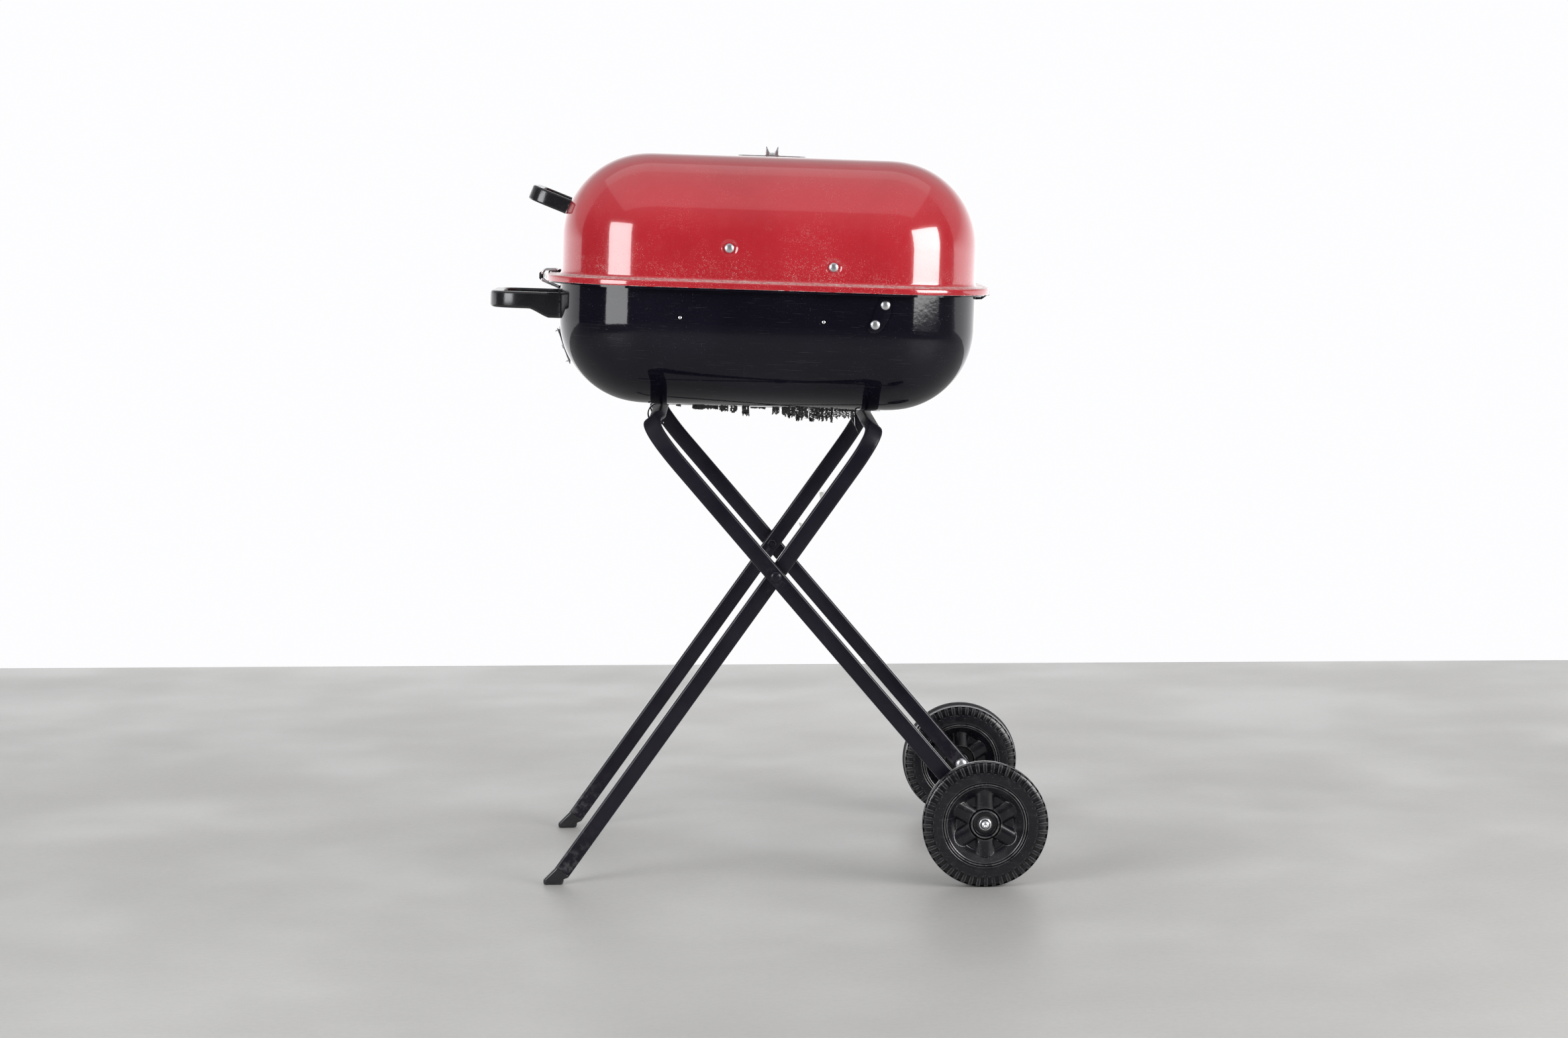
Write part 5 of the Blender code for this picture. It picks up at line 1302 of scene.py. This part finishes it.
SCRAPS = [  # (x, z) outlines on the far foot leg's inner face
    [(0.04753, 0.40307), (0.05101, 0.40188), (0.05448, 0.40078), (0.05814, 0.40030),
     (0.06190, 0.40148), (0.06419, 0.40329), (0.06614, 0.40563), (0.06845, 0.40903),
     (0.07036, 0.40848), (0.06643, 0.40115), (0.06041, 0.39315), (0.05617, 0.38882),
     (0.05417, 0.38867), (0.05185, 0.39239), (0.05006, 0.39592), (0.04871, 0.39928)],
    [(0.07564, 0.44222), (0.07826, 0.44297), (0.08131, 0.44214), (0.08237, 0.43607),
     (0.08393, 0.42779), (0.08362, 0.42358), (0.08025, 0.41924), (0.07808, 0.42014),
     (0.07721, 0.42735), (0.07616, 0.43483)],
    [(0.07523, 0.44494), (0.07593, 0.44520), (0.07636, 0.44458), (0.07566, 0.44397)],
    [(0.08065, 0.44557), (0.08117, 0.44522), (0.08347, 0.44080), (0.08269, 0.44107),
     (0.08140, 0.44275)],
    [(0.08440, 0.43832), (0.08553, 0.43796), (0.08578, 0.43699), (0.08474, 0.43718)],
]
SCRAP_Y, SCRAP_T = FOOT_INNER - 0.00012, 0.00025

for number, scrap in enumerate(SCRAPS):
    ragged = 0.00019 if len(scrap) > 6 else 0.00005
    outline = []
    for (x0, z0), (x1, z1) in zip(scrap, scrap[1:] + scrap[:1]):
        for k in range(4):
            outline.append((x0 + (x1 - x0) * k / 4 + dice.uniform(-ragged, ragged),
                            z0 + (z1 - z0) * k / 4 + dice.uniform(-ragged, ragged)))
    shape = extruded(outline, SCRAP_Y, SCRAP_Y - SCRAP_T)
    bmesh.ops.triangulate(shape, faces=[f for f in shape.faces if len(f.verts) > 4])
    piece(f"label_scrap_{number}", shape, "foot_leg_frame", "torn_label", place=HERE,
          smooth=40)

# ---------------------------------------------------------------------- stage
STAGE, WALL_Y, WALL_SLOPE, WALL_H = 14, 1.80, 0.063, 9
WALL_FRONT, WALL_REAR = WALL_Y + WALL_SLOPE * STAGE, WALL_Y - WALL_SLOPE * STAGE


def stage_mesh(name, corners, material):
    mesh = bpy.data.meshes.new(name)
    mesh.from_pydata(corners, [], [(0, 1, 2, 3)])
    mesh.materials.append(material)
    add_object(name, mesh)


def pale_floor(look):
    tone = look.mottled((0.415, 0.411, 0.398), (0.450, 0.445, 0.430),
                        scale=1.4, detail=5, rough=0.55)
    grit = look.blotches(scale=120, detail=6, rough=0.75, span=(0.35, 0.70), to=(0.0, 0.22))
    tone = look.mix(grit, tone, (0.32, 0.31, 0.30))
    # darker towards the wall
    shadow = look.ramp(look.split()["Y"], (1.20, 1.70), to=(0.0, 0.16))
    look.put(
        Base_Color=look.mix(shadow, tone, (0.0, 0.0, 0.0)),
        Specular_IOR_Level=0.3,
        Roughness=look.blotches(scale=3, detail=4, span=(0.3, 0.7), to=(0.42, 0.58)),
        Normal=look.bumps((look.noise(scale=260, detail=5, rough=0.7), 0.10, 0.0006)))


def white_wall(look):
    """White to the camera; where mirrored, brighter near the floor and dimmer overhead."""
    look.nodes.remove(look.shader)
    height = look.split(look.surface["Position"])["Z"]
    low = look.ramp(height, (0.45, 0.95), to=(1.28, 1.0), kind="LINEAR")
    high = look.ramp(height, (0.95, 1.90), to=(1.34, 0.52), kind="LINEAR")
    seen = look.add("ShaderNodeLightPath")["Is Camera Ray"]
    strength = look.ramp(seen, (0.0, 1.0), to=(low * high, 1.0), kind="LINEAR")
    glow = look.add("ShaderNodeEmission", {"Color": (0.985, 0.985, 1.0), "Strength": strength})
    look.join(glow, look.nodes["Material Output"].inputs["Surface"])


stage_mesh("floor", [(-STAGE, -STAGE, 0), (STAGE, -STAGE, 0), (STAGE, WALL_REAR, 0),
                     (-STAGE, WALL_FRONT, 0)], finished(pale_floor))
stage_mesh("wall", [(-STAGE, WALL_FRONT, 0), (STAGE, WALL_REAR, 0), (STAGE, WALL_REAR, WALL_H),
                    (-STAGE, WALL_FRONT, WALL_H)], finished(white_wall))

# --------------------------------------------------------------------- lights
world = bpy.data.worlds.new("studio")
bpy.context.scene.world = world
sky = Look(world, "Background")
height = sky.split(sky.add("ShaderNodeTexCoord")["Generated"])["Z"]
sky.put(Strength=sky.ramp(height, (0.15, 0.85), to=(0.06, 0.36)), Color=(0.97, 0.98, 1.0))

AIM = Vector((0, 0, 0.78))


def soft_light(name, place, aim, size, radiance, colour=(1, 1, 1)):
    light = bpy.data.lights.new(name, "AREA")
    light.shape = "RECTANGLE"
    light.size, light.size_y = size
    light.energy = radiance * math.pi * size[0] * size[1]
    light.color = colour
    made = add_object(name, light)
    made.location = place
    made.rotation_mode = "QUATERNION"
    made.rotation_quaternion = (Vector(aim) - Vector(place)).to_track_quat("-Z", "Y")
    return made


def window(name, azimuth, distance, **settings):
    """A light aimed at the grill; azimuth 0 is the camera's side, positive to its right."""
    a, e = math.radians(azimuth), math.radians(8)
    out = Vector((math.sin(a) * math.cos(e), -math.cos(a) * math.cos(e), math.sin(e)))
    return soft_light(name, AIM + out * distance, AIM, **settings)


window("window_left", azimuth=-43, distance=2.9, size=(1.40, 1.35), radiance=8.6,
       colour=(0.98, 0.99, 1.0))
window("window_right", azimuth=53, distance=2.9, size=(1.75, 1.35), radiance=7.5,
       colour=(1.0, 0.99, 0.98))
sheen = window("window_right_sheen", azimuth=53, distance=2.91, size=(1.75, 1.35),
               radiance=4.5, colour=(1.0, 0.99, 0.98))
sheen.visible_diffuse = False
soft_light("ceiling", (0, -0.4, 3.6), (0, 0, 0), size=(5.0, 4.5), radiance=0.38)

# --------------------------------------------------------------------- camera
CAMERA_PLACE = (-0.0370, -4.6, 0.8561)
PITCH, YAW, ROLL = math.radians(5.347), math.radians(0.782), math.radians(0.674)
sin_yaw, cos_yaw = math.sin(YAW), math.cos(YAW)
sin_pitch, cos_pitch = math.sin(PITCH), math.cos(PITCH)
level = Vector((cos_yaw, -sin_yaw, 0))
lifted = Vector((sin_yaw * sin_pitch, cos_yaw * sin_pitch, cos_pitch))
right = level * math.cos(ROLL) - lifted * math.sin(ROLL)
upward = level * math.sin(ROLL) + lifted * math.cos(ROLL)
back = -Vector((sin_yaw * cos_pitch, cos_yaw * cos_pitch, -sin_pitch))
lens = bpy.data.cameras.new("camera")
lens.sensor_fit = "HORIZONTAL"
lens.sensor_width = 36
lens.lens = 83.92
camera = add_object("camera", lens)
turn = Matrix((right, upward, back)).transposed().to_4x4()
camera.matrix_world = Matrix.Translation(CAMERA_PLACE) @ turn
bpy.context.scene.camera = camera
bpy.context.scene.view_settings.view_transform = "Standard"
bpy.context.scene.view_settings.look = "None"

bpy.context.view_layer.update()
